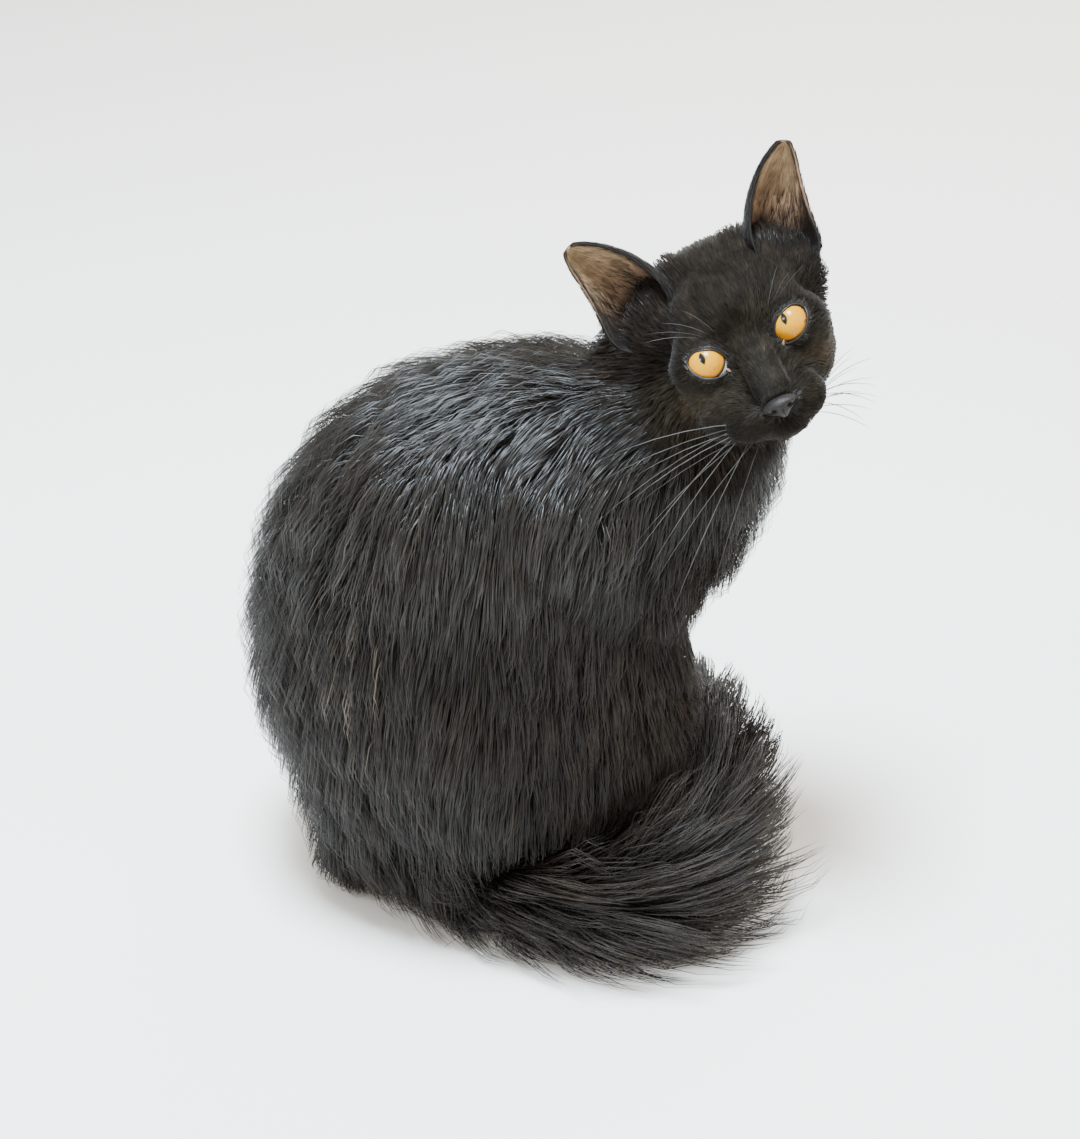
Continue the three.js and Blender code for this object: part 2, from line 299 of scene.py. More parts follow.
def mottled_material(name, colour, roughness, shine, scale, spread, attribute=None):
    """A finish whose colour, or the colour that the piece carries, falls a little unevenly."""
    material, shader = plain_material(name, colour, roughness, shine)
    tree = material.node_tree
    place = tree.nodes.new("ShaderNodeTexCoord").outputs["Object"]
    share = ranged(tree, noise(tree, place, scale, 2), 0.3, 0.7, 1 - spread, 1 + spread)
    base = (*colour, 1)
    if attribute:
        carried = tree.nodes.new("ShaderNodeAttribute")
        carried.attribute_name = attribute
        base = carried.outputs["Color"]
    tree.links.new(mixed(tree, 1, base, share, "MULTIPLY"), shader.inputs["Base Color"])
    return material, shader


floor.data.materials.append(plain_material("pale_floor", (0.955, 0.93, 0.88), 0.9)[0])

world = bpy.data.worlds.new("soft_room")
bpy.context.scene.world = world
world.use_nodes = True
sky = world.node_tree.nodes["Background"]
sky.inputs["Color"].default_value = (1.0, 0.955, 0.89, 1)
sky.inputs["Strength"].default_value = 1.2

VIEW_AIM = at(0, 0, 160)
VIEW_FROM = Vector((-0.6123724, 0.6123724, 0.5))
VIEW_DISTANCE = 1.25


def soft_light(name, direction, size, power, colour, distance=1.6):
    """A round light that shines at the middle of the cat."""
    data = bpy.data.lights.new(name, "AREA")
    data.shape = "DISK"
    data.size, data.energy, data.color = size, power, colour
    light = in_scene(name, data)
    away = Vector(direction).normalized()
    light.location = VIEW_AIM + away * distance
    light.rotation_mode = "QUATERNION"
    light.rotation_quaternion = (-away).to_track_quat("-Z", "Y")


soft_light("skylight", (-0.05, 0.2, 1.0), 0.5, 126, (0.74, 0.87, 1.0))
soft_light("window", (0.06, 0.70, 0.705), 0.25, 9, (0.95, 0.98, 1.0))
soft_light("fill", (-0.9, -0.35, 0.35), 1.4, 11, (1.0, 0.90, 0.78))
soft_light("back_light", (0.4, -1.0, 0.6), 1.2, 16, (1.0, 0.94, 0.86))

camera_data = bpy.data.cameras.new("camera")
camera_data.sensor_width = 36
camera_data.lens = 85.97
camera_data.clip_start, camera_data.clip_end = 0.05, 50
camera = in_scene("camera", camera_data)
camera.location = VIEW_AIM + VIEW_FROM * VIEW_DISTANCE
camera.rotation_mode = "QUATERNION"
camera.rotation_quaternion = (-VIEW_FROM).to_track_quat("-Z", "Y")
bpy.context.scene.camera = camera

# ---------------------------------------------------------------------------------------------
# The lie of the coat: at each landmark, the way the hair points, its length and how deep the coat is


def on(quarter, across, ahead, up, lie, length, depth):
    return (of_quarter(quarter, across, ahead, up), along_quarter(quarter, *lie), length, depth)


def both(quarter, across, ahead, up, lie, length, depth):
    return [
        on(quarter, s * across, ahead, up, (s * lie[0], lie[1], lie[2]), length, depth)
        for s in (LEFT, RIGHT)
    ]


H, F = HINDQUARTERS, FOREQUARTERS
landmarks = [
    # the line of the spine
    (Vector((-44, -22, 262)), Vector((0.75, 0.6, -0.25)), 22, 9),
    (Vector((-14, -10, 258)), Vector((0.75, 0.65, 0.05)), 26, 11),
    on(F, 0, -20, 258, (0, -1, 0.02), 30, 12),
    (Vector((14, 24, 268)), Vector((0.15, 0.97, -0.15)), 34, 13),
    on(H, 0, -12, 248, (0, -0.85, -0.5), 36, 13),
    on(H, 0, -48, 205, (0, -0.5, -0.85), 38, 14),
    on(H, 0, -64, 150, (0, -0.12, -1), 40, 15),
    on(H, 0, -64, 95, (0, 0.15, -1), 40, 15),
    on(H, 0, -50, 45, (0, 0.3, -0.9), 36, 13),
    # front of the chest and the belly
    on(F, 0, 58, 190, (0, 0.15, -1), 38, 15),
    on(F, 0, 56, 140, (0, 0.05, -1), 36, 14),
    on(F, 0, 40, 90, (0, -0.1, -1), 30, 12),
    (Vector((-52, -50, 215)), Vector((0.1, 0.0, -1)), 38, 14),
    (Vector((-86, -70, 215)), Vector((0.1, -0.05, -1)), 38, 15),
    (Vector((-62, -88, 205)), Vector((0.1, -0.15, -1)), 40, 15),
    (Vector((-30, -90, 195)), Vector((0.3, 0.1, -1)), 38, 14),
    (Vector((-75, -8, 225)), Vector((0.25, 0.15, -0.95)), 32, 13),
    (Vector((-58, -4, 240)), Vector((0.55, 0.5, -0.7)), 26, 11),
    (Vector((-20, -80, 235)), Vector((0.6, 0.2, -0.8)), 30, 12),
]
# pairs down each side: shoulders, forelegs and their paws, then haunches, hind legs and their paws
for pair in (
    (F, 45, -14, 240, (0.35, -0.75, -0.5), 30, 12),
    (F, 66, 4, 205, (0.1, -0.35, -0.9), 30, 12),
    (F, 62, 20, 160, (0, -0.1, -1), 30, 12),
    (F, 58, 20, 115, (0, 0, -1), 22, 9),
    (F, 30, 44, 70, (0, 0.05, -1), 14, 6),
    (F, 26, 52, 30, (0, 0.35, -0.9), 9, 4),
    (F, 24, 66, 16, (0, 0.95, -0.3), 7, 3),
    (H, 50, -14, 228, (0.35, -0.4, -0.8), 36, 13),
    (H, 78, 0, 185, (0.08, -0.12, -1), 36, 13),
    (H, 84, 10, 140, (0, -0.05, -1), 38, 14),
    (H, 90, 30, 95, (-0.05, -0.05, -1), 36, 13),
    (H, 92, 62, 95, (-0.05, -0.15, -1), 32, 12),
    (H, 80, 105, 85, (0, -0.1, -1), 26, 10),
    (H, 78, 10, 60, (-0.1, 0.05, -1), 34, 12),
    (H, 62, 60, 35, (0, 0.35, -0.9), 16, 6),
    (H, 58, 96, 22, (0, 0.85, -0.5), 9, 4),
    (H, 56, 118, 14, (0, 0.95, -0.35), 7, 3),
    (H, 45, -44, 130, (0.1, -0.2, -1), 40, 15),
    (H, 45, -40, 60, (0, 0.1, -1), 36, 13),
):
    landmarks += both(*pair)
landmarks += [on(H, 16, -31, 20, (0, -0.1, -1), 8, 4)]

# The head's own landmarks, each given for the left and the middle
head_landmarks = [
    ((0, -54, -13), (0, 0.5, 0.85), 4, 0.3),
    ((0, -38, 3), (0, 0.6, 0.8), 6, 0.5),
    ((0, -28, 22), (0, 0.5, 0.85), 12, 1.3),
    ((0, 0, 40), (0, 1, 0.1), 18, 4),
    ((0, 40, 26), (0, 0.6, -0.8), 20, 7),
    ((0, 50, 0), (0, 0.3, -1), 24, 9),
    ((16, -31, 14), (0.5, 0.2, 0.85), 7, 0.8),
    ((30, -16, 16), (0.5, 0.6, 0.5), 9, 1.3),
    ((20, -36, -10), (0.8, 0.5, -0.35), 6, 0.6),
    ((8, -44, -8), (0.5, 0.8, 0.2), 5, 0.5),
    ((12, -52, -24), (0.9, 0.5, -0.3), 5, 0.5),
    ((16, -42, -33), (0.7, 0.5, -0.6), 6, 0.8),
    ((0, -47, -37), (0, 0.6, -0.8), 7, 1.2),
    ((33, -18, -8), (0.3, 0.9, -0.35), 11, 1.6),
    ((36, 4, -8), (0.15, 0.9, -0.5), 24, 6),
    ((34, 8, -26), (0.2, 0.7, -0.8), 28, 8),
    ((22, -20, -34), (0.3, 0.5, -0.9), 18, 4.5),
    ((8, -12, -40), (0.1, 0.4, -0.95), 28, 9),
    ((31, -8, 30), (0.3, 0.3, 0.9), 9, 1.5),
    ((34, 20, 16), (0.3, 0.9, -0.35), 17, 5),
]
for (x, y, z), (a, b, c), length, depth in head_landmarks:
    for side in (LEFT, RIGHT) if x else (LEFT,):
        place = HEAD @ (Vector((side * x, y, z)) * MM)
        lie = head_turn @ Vector((side * a, b, c))
        landmarks.append(((place - OFFSET) / MM, lie, length, depth))

mark_at = np.array([OFFSET + m[0] * MM for m in landmarks])
mark_lie = unit([tuple(m[1]) for m in landmarks])
mark_length = np.array([m[2] for m in landmarks], float)
mark_depth = np.array([m[3] for m in landmarks], float)


def weights_of_landmarks(points, power=4):
    far = np.linalg.norm(points[:, None, :] - mark_at[None], axis=2)
    weight = 1 / (far + 0.004) ** power
    return weight / weight.sum(1, keepdims=True)


def coat_depth(points):
    return weights_of_landmarks(points) @ mark_depth


# ---------------------------------------------------------------------------------------------
# The skin: body from the solids, drawn in by the depth of the coat

flesh_nodes = ["neck", "trunk", "fore_leg_left", "fore_leg_right", "hind_leg_left", "hind_leg_right"]
tail_nodes = ["tail_root", "tail_middle", "tail_bend", "tail_tip"]


def copy_of_solid(name):
    obj = in_scene("copy_" + name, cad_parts[name].data.copy())
    obj.data.materials.clear()
    return obj


def merged(obj):
    mesh = bmesh.new()
    mesh.from_mesh(obj.data)
    bmesh.ops.remove_doubles(mesh, verts=mesh.verts, dist=1e-6)
    mesh.to_mesh(obj.data)
    mesh.free()
    return obj


body = merged(joined([copy_of_solid(n) for n in [*flesh_nodes, "head", "tail_root"]], "body"))
apply_modifier(body, "REMESH", mode="VOXEL", voxel_size=BODY_VOXEL * MM)
apply_modifier(body, "SMOOTH", iterations=10, factor=0.5)
co = points_of(body)
local = to_head(co)
face_front = smooth_step(2, -16, local[:, 1]) * smooth_step(-44, -36, local[:, 2])
face_front *= np.abs(local[:, 0]) < 50
put_points(body, co - normals_of(body) * ((coat_depth(co) + FACE_DRAWN_IN * face_front) * MM)[:, None])
apply_modifier(body, "SMOOTH", iterations=4, factor=0.5)

tail_line = [
    ((32, 78, 60), 27),
    ((14, 71, 44), 26),
    ((-3, 60, 30), 26),
    ((-29, 51, 27), 27),
    ((-58, 44, 28), 28),
    ((-80, 28, 29), 31),
    ((-90, 2, 28), 36),
    ((-76, -36, 27), 36),
    ((-45, -72, 26), 32),
    ((-16, -100, 24), 26),
    ((10, -126, 20), 19),
    ((21, -138, 15), 13),
]
tail_path = np.array([tuple(at(*p)) for p, _ in tail_line])
tail_reach = np.array([r for _, r in tail_line], float)
TAIL_BONE = np.linspace(13, 4.5, len(tail_line))

# The bone of the tail, and the toes and backs of the paws
masses = []
for i in range(len(tail_line) - 1):
    a, b = tail_line[i][0], tail_line[i + 1][0]
    masses += taper(a, b, TAIL_BONE[i], TAIL_BONE[i + 1], detail=2)
for side in (LEFT, RIGHT):
    for quarter, across, ahead in ((F, 24, 70), (H, 56, 116)):
        turn = (0, 0, quarter[1])
        for toe, lead in ((-10, -3), (-3.6, 2), (3.6, 2), (10, -3)):
            place = of_quarter(quarter, side * across + toe, ahead + lead, 7.5)
            masses.append(egg(place, (5, 9.5, 6.6), turn, 3))
        masses.append(egg(of_quarter(quarter, side * across, ahead - 16, 9), (13, 20, 9), turn, 3))
for mass in masses:
    placed(mass, Matrix.Translation(OFFSET))

# Masses of the head, in its own axes: braincase, brow, face, muzzle and chin
WHISKER_PAD = {LEFT: (8.9, 11.3), RIGHT: (10.5, 13.5)}  # out from the middle, and half its width
head_masses = [
    egg((0, 12, 9), (33.5, 35, 32)),
    egg((0, -12, 13), (27, 22.5, 22.5)),
    egg((0, -22, -11), (24.5, 21, 18)),
    egg((0, -20, -22), (19.5, 22, 13.5)),
    egg((0, -41, -31.5), (9.3, 10, 7)),
]
for x in (-3.3, 0, 3.3):  # the flat bridge of the nose
    head_masses += taper((x, -24, 9), (1.15 * x, -51, -14), 6.4 if x else 7.2, 4.2 if x else 4.8)
for s in (LEFT, RIGHT):
    out, wide = WHISKER_PAD[s]
    head_masses += [
        egg((s * out, -41.5, -24.2), (wide, 12.5, 9.8), (0, 0, -s * 14)),
        egg((s * 18, -5, -11), (15.5, 23, 20)),
        egg((s * 22, -14, -6), (11.5, 18.6, 15)),
        egg((s * 28, 2, 13), (13, 16, 15)),
        egg((s * 17, -21, 13.5), (11.5, 10.5, 7.5), (0, s * 18, 0)),
        egg((s * 14, 8, 27), (12, 13, 14)),
        egg((s * 27, 15, 12), (13, 13, 13)),
        egg((s * 20, -25, 1), (13.8, 12.8, 13.2)),
    ]
# the cheeks and the loose skin of the neck bunch up on the side the head is turned to
head_masses += [
    egg((-16.5, -29, -19.5), (14, 15, 13.5), (0, 0, 10)),
    egg((10.5, -29, -20), (8.5, 14, 12), (0, 0, -10)),
    egg((-30, 12, -20), (14, 20, 17)),
    egg((-33, 24, -4), (15, 17, 16)),
    egg((-38, 29, 9), (15, 15, 13)),
]
head_block = placed(joined(head_masses, "head_block"), HEAD)

skin = joined([body, head_block, *masses], "skin")
apply_modifier(skin, "REMESH", mode="VOXEL", voxel_size=SKIN_VOXEL * MM)
apply_modifier(skin, "SMOOTH", iterations=7, factor=0.5)

# Finer faces where the face has its folds
for reach, low in ((46, -14), (34, -21)):
    local = to_head(points_of(skin))
    in_height = (local[:, 2] > -50) & (local[:, 2] < 24)
    edit_faces_of(skin, (np.abs(local[:, 0]) < reach) & (local[:, 1] < low) & in_height)
    bpy.ops.mesh.subdivide(number_cuts=1, smoothness=0.6)
    bpy.ops.object.mode_set(mode="OBJECT")

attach(skin, "root")
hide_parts("head", *flesh_nodes, *tail_nodes)
SKIN_BLACK = (0.0085, 0.007, 0.0055)
skin.data.materials.append(mottled_material("black_skin", SKIN_BLACK, 0.75, 0.12, 190, 0.35)[0])
skin.data.shade_smooth()

# ---------------------------------------------------------------------------------------------
# Folds of the face: lids round the eyeballs, philtrum, lips and the bridge of the nose

# Edge of the eye's opening, seen from the eyeball's middle: degrees to the cat's outer side, and up
LID_EDGE = [
    (50, 30), (49, 40), (40, 49), (22, 54), (4, 52), (-13, 47), (-28, 40), (-39, 28), (-46, 13),
    (-49, 0), (-50, -12), (-40, -20), (-22, -22), (-6, -20), (8, -15), (22, -7), (34, 5), (43, 17),
]
LID_AIM = (0, 16)
LID_THICK = 1.4


def flattened(turns_out, turns_up):
    """Directions laid out flat round LID_AIM, in degrees."""
    a, e = np.radians(turns_out - LID_AIM[0]), np.radians(turns_up)
    e0 = math.radians(LID_AIM[1])
    x = np.cos(e) * np.sin(a)
    y = math.cos(e0) * np.sin(e) - math.sin(e0) * np.cos(e) * np.cos(a)
    ahead = math.sin(e0) * np.sin(e) + math.cos(e0) * np.cos(e) * np.cos(a)
    angle = np.degrees(np.arctan2(np.hypot(x, y), ahead))
    spread = np.maximum(np.hypot(x, y), 1e-9)
    return np.stack([x / spread * angle, y / spread * angle], -1)


def closed_curve(points, steps=6):
    """A smooth closed line through the points."""
    p = np.asarray(points, float)
    t = np.linspace(0, 1, steps, endpoint=False)[:, None]
    rows = []
    for i in range(len(p)):
        a, b, c, d = (p[(i + k) % len(p)] for k in (-1, 0, 1, 2))
        square, cube = 2 * a - 5 * b + 4 * c - d, 3 * b - a - 3 * c + d
        rows.append(0.5 * (2 * b + (c - a) * t + square * t**2 + cube * t**3))
    return np.concatenate(rows)


lid_curve = closed_curve(LID_EDGE)
lid_flat = flattened(lid_curve[:, 0], lid_curve[:, 1])


def outside_of(flat, curve):
    """Distance to a closed line, negative inside."""
    a, b = curve, np.roll(curve, -1, axis=0)
    ab = b - a
    ap = flat[:, None] - a[None]
    t = np.clip((ap * ab[None]).sum(-1) / (ab**2).sum(-1)[None], 0, 1)
    far = np.linalg.norm(ap - ab[None] * t[..., None], axis=-1).min(1)
    crosses = (a[None, :, 1] > flat[:, None, 1]) != (b[None, :, 1] > flat[:, None, 1])
    slope = ab[None, :, 0] / np.where(ab[None, :, 1] == 0, 1e-9, ab[None, :, 1])
    left = flat[:, None, 0] < a[None, :, 0] + (flat[:, None, 1] - a[None, :, 1]) * slope
    inside = (crosses & left).sum(1) % 2 == 1
    return np.where(inside, -far, far)


def lid_distance(local, side):
    """How far points are outside one eye's opening, in degrees; how far from its middle, and which way."""
    out = local - np.array(eye_middle(side))
    radius = np.linalg.norm(out, axis=1)
    way = out / radius[:, None]
    turned_out = np.degrees(np.arctan2(side * way[:, 0], -way[:, 1]))
    turned_up = np.degrees(np.arcsin(np.clip(way[:, 2], -1, 1)))
    return outside_of(flattened(turned_out, turned_up), lid_flat), radius, way


def near_eye(local, side, reach):
    return np.flatnonzero(np.linalg.norm(local - np.array(eye_middle(side)), axis=1) < reach)


def line_distance(local, line):
    """Distance to an open line in millimetres."""
    p = np.asarray(line, float)
    a, b = p[:-1], p[1:]
    ab = b - a
    ap = local[:, None] - a[None]
    t = np.clip((ap * ab[None]).sum(-1) / (ab**2).sum(-1)[None], 0, 1)
    return np.linalg.norm(ap - ab[None] * t[..., None], axis=-1).min(1)


LIP_LINE = [
    (0, -54, -30.5), (2.5, -54, -32), (7, -51.5, -33.2), (13, -47.5, -32.6),
    (18.5, -42, -30.5), (23, -36, -27.5), (26, -30, -25),
]
PHILTRUM = [(0, -60, -25), (0, -57, -28), (0, -54, -31.5)]

co = points_of(skin)
local = to_head(co)
no = normals_of(skin) @ HEAD_AXES
near_face = np.flatnonzero((np.abs(local[:, 0]) < 46) & (local[:, 1] < -5) & (np.abs(local[:, 2]) < 50))
p, n = local[near_face], no[near_face]
for side in (LEFT, RIGHT):
    close = near_eye(p, side, 21)
    apart, radius, way = lid_distance(p[close], side)
    lid = EYE_RADIUS + LID_THICK
    outer = np.clip(radius, lid, lid + np.maximum(apart - 3, 0) * 0.3)
    outer = np.where(apart > 60, radius, outer)
    inner = EYE_RADIUS - 1.6
    target = inner + (outer - inner) * smooth_step(-1.5, 2.0, apart)
    fade = 1 - smooth_step(14, 20, radius)
    within = 1 - smooth_step(15, 17.5, radius)
    target = radius + (target - radius) * np.where(apart > 0, fade, within)
    p[close] = np.array(eye_middle(side)) + way * target[:, None]
groove = np.zeros(len(p))
for side in (LEFT, RIGHT):
    lip = [(side * x, y, z) for x, y, z in LIP_LINE]
    groove += 1.5 * bell(line_distance(p, lip), 0, 1.0)
groove += 1.2 * bell(line_distance(p, PHILTRUM), 0, 0.8)
p -= n * np.minimum(groove, 2)[:, None]

# The bridge of the nose: a flat top between two edges, with a hollow on each side of it
down_bridge = smooth_step(-34, -41, p[:, 1]) * smooth_step(-21, -15, p[:, 2]) * smooth_step(10, 2, p[:, 2])
off = np.abs(p[:, 0])
p += n * (down_bridge * (1.5 * np.exp(-((off / 6.6) ** 6)) - 1.6 * bell(off, 10, 2.4)))[:, None]
local[near_face] = p
put_points(skin, from_head(local))

# The skin round the lids, made even
edges = read(skin.data.edges, "vertices", 2, np.int32)
local = to_head(points_of(skin))
even = np.zeros(len(local))
for side in (LEFT, RIGHT):
    close = near_eye(local, side, 26)
    apart, radius, _ = lid_distance(local[close], side)
    share = smooth_step(3, 9, apart) * (1 - smooth_step(21, 26, radius))
    even[close] = np.maximum(even[close], share)
picked = edges[(even[edges] > 0).any(1)]
for _ in range(14):
    total, number = np.zeros_like(local), np.zeros(len(local))
    for i, j in ((0, 1), (1, 0)):
        np.add.at(total, picked[:, i], local[picked[:, j]])
        np.add.at(number, picked[:, i], 1)
    mean = total / np.maximum(number, 1)[:, None]
    local += (mean - local) * (0.5 * even * (number > 0))[:, None]
put_points(skin, from_head(local))

# ---------------------------------------------------------------------------------------------
# Eyes

GAZE = {LEFT: Vector((-0.195, -0.824, 0.532)), RIGHT: Vector((-0.09, -0.836, 0.542))}
IRIS_RADIUS = 8.0
CORNEA_RISE = 0.9


def eye_material():
    """Amber iris with fine spokes and a slit pupil, in turns round the ball's own middle."""
    material, shader = plain_material("amber_eye", (0.47, 0.22, 0.003), 0.25, 0.15)
    shader.inputs["Coat Weight"].default_value = 0.18
    shader.inputs["Coat Roughness"].default_value = 0.02
    shader.inputs["IOR"].default_value = 1.38
    tree = material.node_tree
    nodes, links = tree.nodes, tree.links

    def maths(kind, a, b=None):
        node = nodes.new("ShaderNodeMath")
        node.operation = kind
        for socket, value in zip(node.inputs, (a, b)):
            if isinstance(value, (int, float)):
                socket.default_value = value
            elif value is not None:
                links.new(value, socket)
        return node.outputs[0]

    uv = nodes.new("ShaderNodeUVMap")
    uv.uv_map = "iris"
    split = nodes.new("ShaderNodeSeparateXYZ")
    links.new(uv.outputs["UV"], split.inputs["Vector"])
    x, y = split.outputs["X"], split.outputs["Y"]
    far = maths("SQRT", maths("ADD", maths("MULTIPLY", x, x), maths("MULTIPLY", y, y)))

    colours = nodes.new("ShaderNodeValToRGB")
    stops = colours.color_ramp
    stops.interpolation = "EASE"
    wanted = [
        (0.0, (0.34, 0.18, 0.004, 1)),
        (0.30, (0.47, 0.225, 0.003, 1)),
        (0.62, (0.49, 0.205, 0.002, 1)),
        (0.86, (0.48, 0.19, 0.006, 1)),
        (0.95, (0.10, 0.045, 0.010, 1)),
        (1.0, (0.012, 0.009, 0.008, 1)),
    ]
    stops.elements[0].position, stops.elements[0].color = wanted[0]
    stops.elements[1].position, stops.elements[1].color = wanted[-1]
    for position, colour in wanted[1:-1]:
        stops.elements.new(position).color = colour
    links.new(maths("DIVIDE", far, 1.1), colours.inputs["Fac"])

    round_iris = nodes.new("ShaderNodeCombineXYZ")
    links.new(maths("MULTIPLY", maths("ARCTAN2", y, x), 9.0), round_iris.inputs["X"])
    links.new(maths("MULTIPLY", far, 2.2), round_iris.inputs["Y"])
    spokes = ranged(tree, noise(tree, round_iris.outputs[0], 2.4, 3), 0.3, 0.7, 0.8, 1.15)
    iris = mixed(tree, 1, colours.outputs["Color"], spokes, "MULTIPLY")

    # the slit is the overlap of two discs
    shifted = maths("ADD", maths("ABSOLUTE", x), 0.55)
    tall = maths("MULTIPLY", maths("MULTIPLY", y, y), 1.9)
    slit = maths("SQRT", maths("ADD", maths("MULTIPLY", shifted, shifted), tall))
    seen = mixed(tree, ranged(tree, slit, 0.655, 0.70), (0.004, 0.004, 0.004, 1), iris)
    whole = mixed(tree, ranged(tree, far, 1.12, 1.17), seen, (0.42, 0.38, 0.34, 1))  # white beyond it
    links.new(whole, shader.inputs["Base Color"])
    return material


amber_eye = eye_material()
face_up = Vector((0, 0, 1))
for name, side in SIDES:
    deselect()
    bpy.ops.mesh.primitive_uv_sphere_add(segments=96, ring_count=64, radius=EYE_RADIUS * MM)
    eye = bpy.context.active_object
    eye.name = eye.data.name = f"eyeball_{name}"
    gaze = GAZE[side].normalized()
    right_way = gaze.cross(face_up).normalized()
    up_way = right_way.cross(gaze)
    turn = Matrix((right_way, up_way, gaze)).transposed()  # ball's own z looks out
    co = points_of(eye) / MM
    out = co[:, 2] / EYE_RADIUS
    bulge = smooth_step(math.cos(math.radians(50)), 1.0, out)
    co += unit(co) * (bulge * CORNEA_RISE)[:, None]
    layer = eye.data.uv_layers.active
    layer.name = "iris"
    index = read(eye.data.loops, "vertex_index", kind=np.int32)
    angle = np.arccos(np.clip(unit(co)[:, 2], -1, 1))
    edge = math.asin(IRIS_RADIUS / EYE_RADIUS)
    flat = unit(co[:, :2]) * (angle / edge)[:, None]
    layer.data.foreach_set("uv", flat[index].astype(np.float32).ravel())
    world_co = from_head(co @ np.array(turn).T + np.array(eye_middle(side)))
    put_points(eye, world_co)
    eye.data.shade_smooth()
    eye.data.materials.append(amber_eye)
    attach(eye, "root")
    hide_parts(f"eye_{name}")

# The bare dark edge of the lids, and the tear corner
LID_BLACK, TEAR_PINK = (0.012, 0.009, 0.008), (0.17, 0.10, 0.075)
rim_material, _ = mottled_material("lid_edge", LID_BLACK, 0.35, 0.25, 400, 0.35)
tear_material, _ = mottled_material("tear_corner", TEAR_PINK, 0.25, 0.5, 500, 0.3)


def tube(name, line, radii, sides=8, closed=False):
    """A round tube along a line of world points, closed at its ends."""
    line = np.asarray(line, float)
    count = len(line)
    ahead = np.roll(line, -1, axis=0) - np.roll(line, 1, axis=0) if closed else np.gradient(line, axis=0)
    ahead = unit(ahead)
    one = unit(np.cross(ahead, (0.3, 0.2, 1.0)))
    two = np.cross(ahead, one)
    angle = np.linspace(0, 2 * math.pi, sides, endpoint=False)
    ring = one[:, None] * np.cos(angle)[None, :, None] + two[:, None] * np.sin(angle)[None, :, None]
    verts = (line[:, None] + ring * np.asarray(radii, float).reshape(-1, 1, 1)).reshape(-1, 3)
    faces = []
    for i in range(count if closed else count - 1):
        k = (i + 1) % count
        for j in range(sides):
            m = (j + 1) % sides
            faces.append((i * sides + j, i * sides + m, k * sides + m, k * sides + j))
    if not closed:
        faces.append(tuple(range(sides - 1, -1, -1)))
        faces.append(tuple((count - 1) * sides + j for j in range(sides)))
    obj = new_piece(name, verts, faces)
    obj.data.shade_smooth()
    return obj


for name, side in SIDES:
    curve = closed_curve(LID_EDGE, 8)
    a, e = np.radians(curve[:, 0]) * side, np.radians(curve[:, 1])
    way = np.stack([np.sin(a) * np.cos(e), -np.cos(a) * np.cos(e), np.sin(e)], 1)
    line = from_head(np.array(eye_middle(side)) + way * (EYE_RADIUS + 0.95))
    rim = tube(f"lid_edge_{name}", line, np.full(len(line), 0.5 * MM), 8, closed=True)
    rim.data.materials.append(rim_material)
    corner = np.linspace((side * 13.4, -36.6, -1.2), (side * 10.6, -37.4, -5.6), 7)
    corner[:, 1] += 0.8 * np.sin(np.linspace(0, math.pi, 7))
    round_tear = np.array((0.2, 0.5, 0.7, 0.75, 0.6, 0.4, 0.2)) * MM
    tear = tube(f"tear_corner_{name}", from_head(corner), round_tear)
    tear.data.materials.append(tear_material)
    for part in (rim, tear):
        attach(part, "root")

# ---------------------------------------------------------------------------------------------
# Nose leather

deselect()
bpy.ops.mesh.primitive_uv_sphere_add(segments=96, ring_count=64, radius=1)
leather = bpy.context.active_object
leather.name = leather.data.name = "nose_leather"
q = points_of(leather)
q = q[:, [0, 2, 1]] * (1, -1, 1)  # poles to front and back
x, y, z = q[:, 0] * 8.0, q[:, 1] * 4.6, q[:, 2] * 5.8
low = smooth_step(0.1, -0.95, q[:, 2])
x = x * (1 - 0.6 * low)
z = np.where(z > 0, 0.6 * z, z) - 0.9 * np.abs(q[:, 0]) ** 2 * (1 - low)
y = y + 1.5 * np.abs(q[:, 0]) ** 2 - 0.4 * low
front_side = q[:, 1] < 0.2
for s in (LEFT, RIGHT):
    hole = np.exp(-(((x - s * 3.5) / 1.2) ** 2 + ((z + 1.0) / 0.95) ** 2))
    for k in np.linspace(0, 1, 6):
        slit = ((x - s * (4.0 + 2.6 * k)) / 0.7) ** 2 + ((z - (-1.6 - 0.5 * k + 0.9 * k * k)) / 0.5) ** 2
        hole = np.maximum(hole, 0.85 * np.exp(-slit))
    y = np.where(front_side, y + 2.4 * hole, y)
    y = y - 0.7 * np.exp(-(((x - s * 5.6) / 1.8) ** 2 + ((z - 0.6) / 1.4) ** 2)) * front_side
y = y + 0.8 * bell(x, 0, 0.5) * smooth_step(0.5, -2.0, z) * front_side
q = np.stack([x, y, z], 1) + (0, -55.4, -20.2)
put_points(leather, from_head(q))
leather.data.shade_smooth()
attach(leather, "root")
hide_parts("nose")
leather_material, shader = mottled_material("nose_leather", (0.012, 0.0098, 0.0085), 0.5, 0.18, 300, 0.35)
tree = leather_material.node_tree
place = tree.nodes.new("ShaderNodeTexCoord")
pebbles = tree.nodes.new("ShaderNodeTexVoronoi")
pebbles.inputs["Scale"].default_value = 1500
bump = tree.nodes.new("ShaderNodeBump")
bump.inputs["Strength"].default_value = 0.5
bump.inputs["Distance"].default_value = 0.0002
tree.links.new(place.outputs["Object"], pebbles.inputs["Vector"])
tree.links.new(pebbles.outputs["Distance"], bump.inputs["Height"])
tree.links.new(bump.outputs["Normal"], shader.inputs["Normal"])
leather.data.materials.append(leather_material)

# ---------------------------------------------------------------------------------------------
# Ears: cupped leaves, rooted in the head

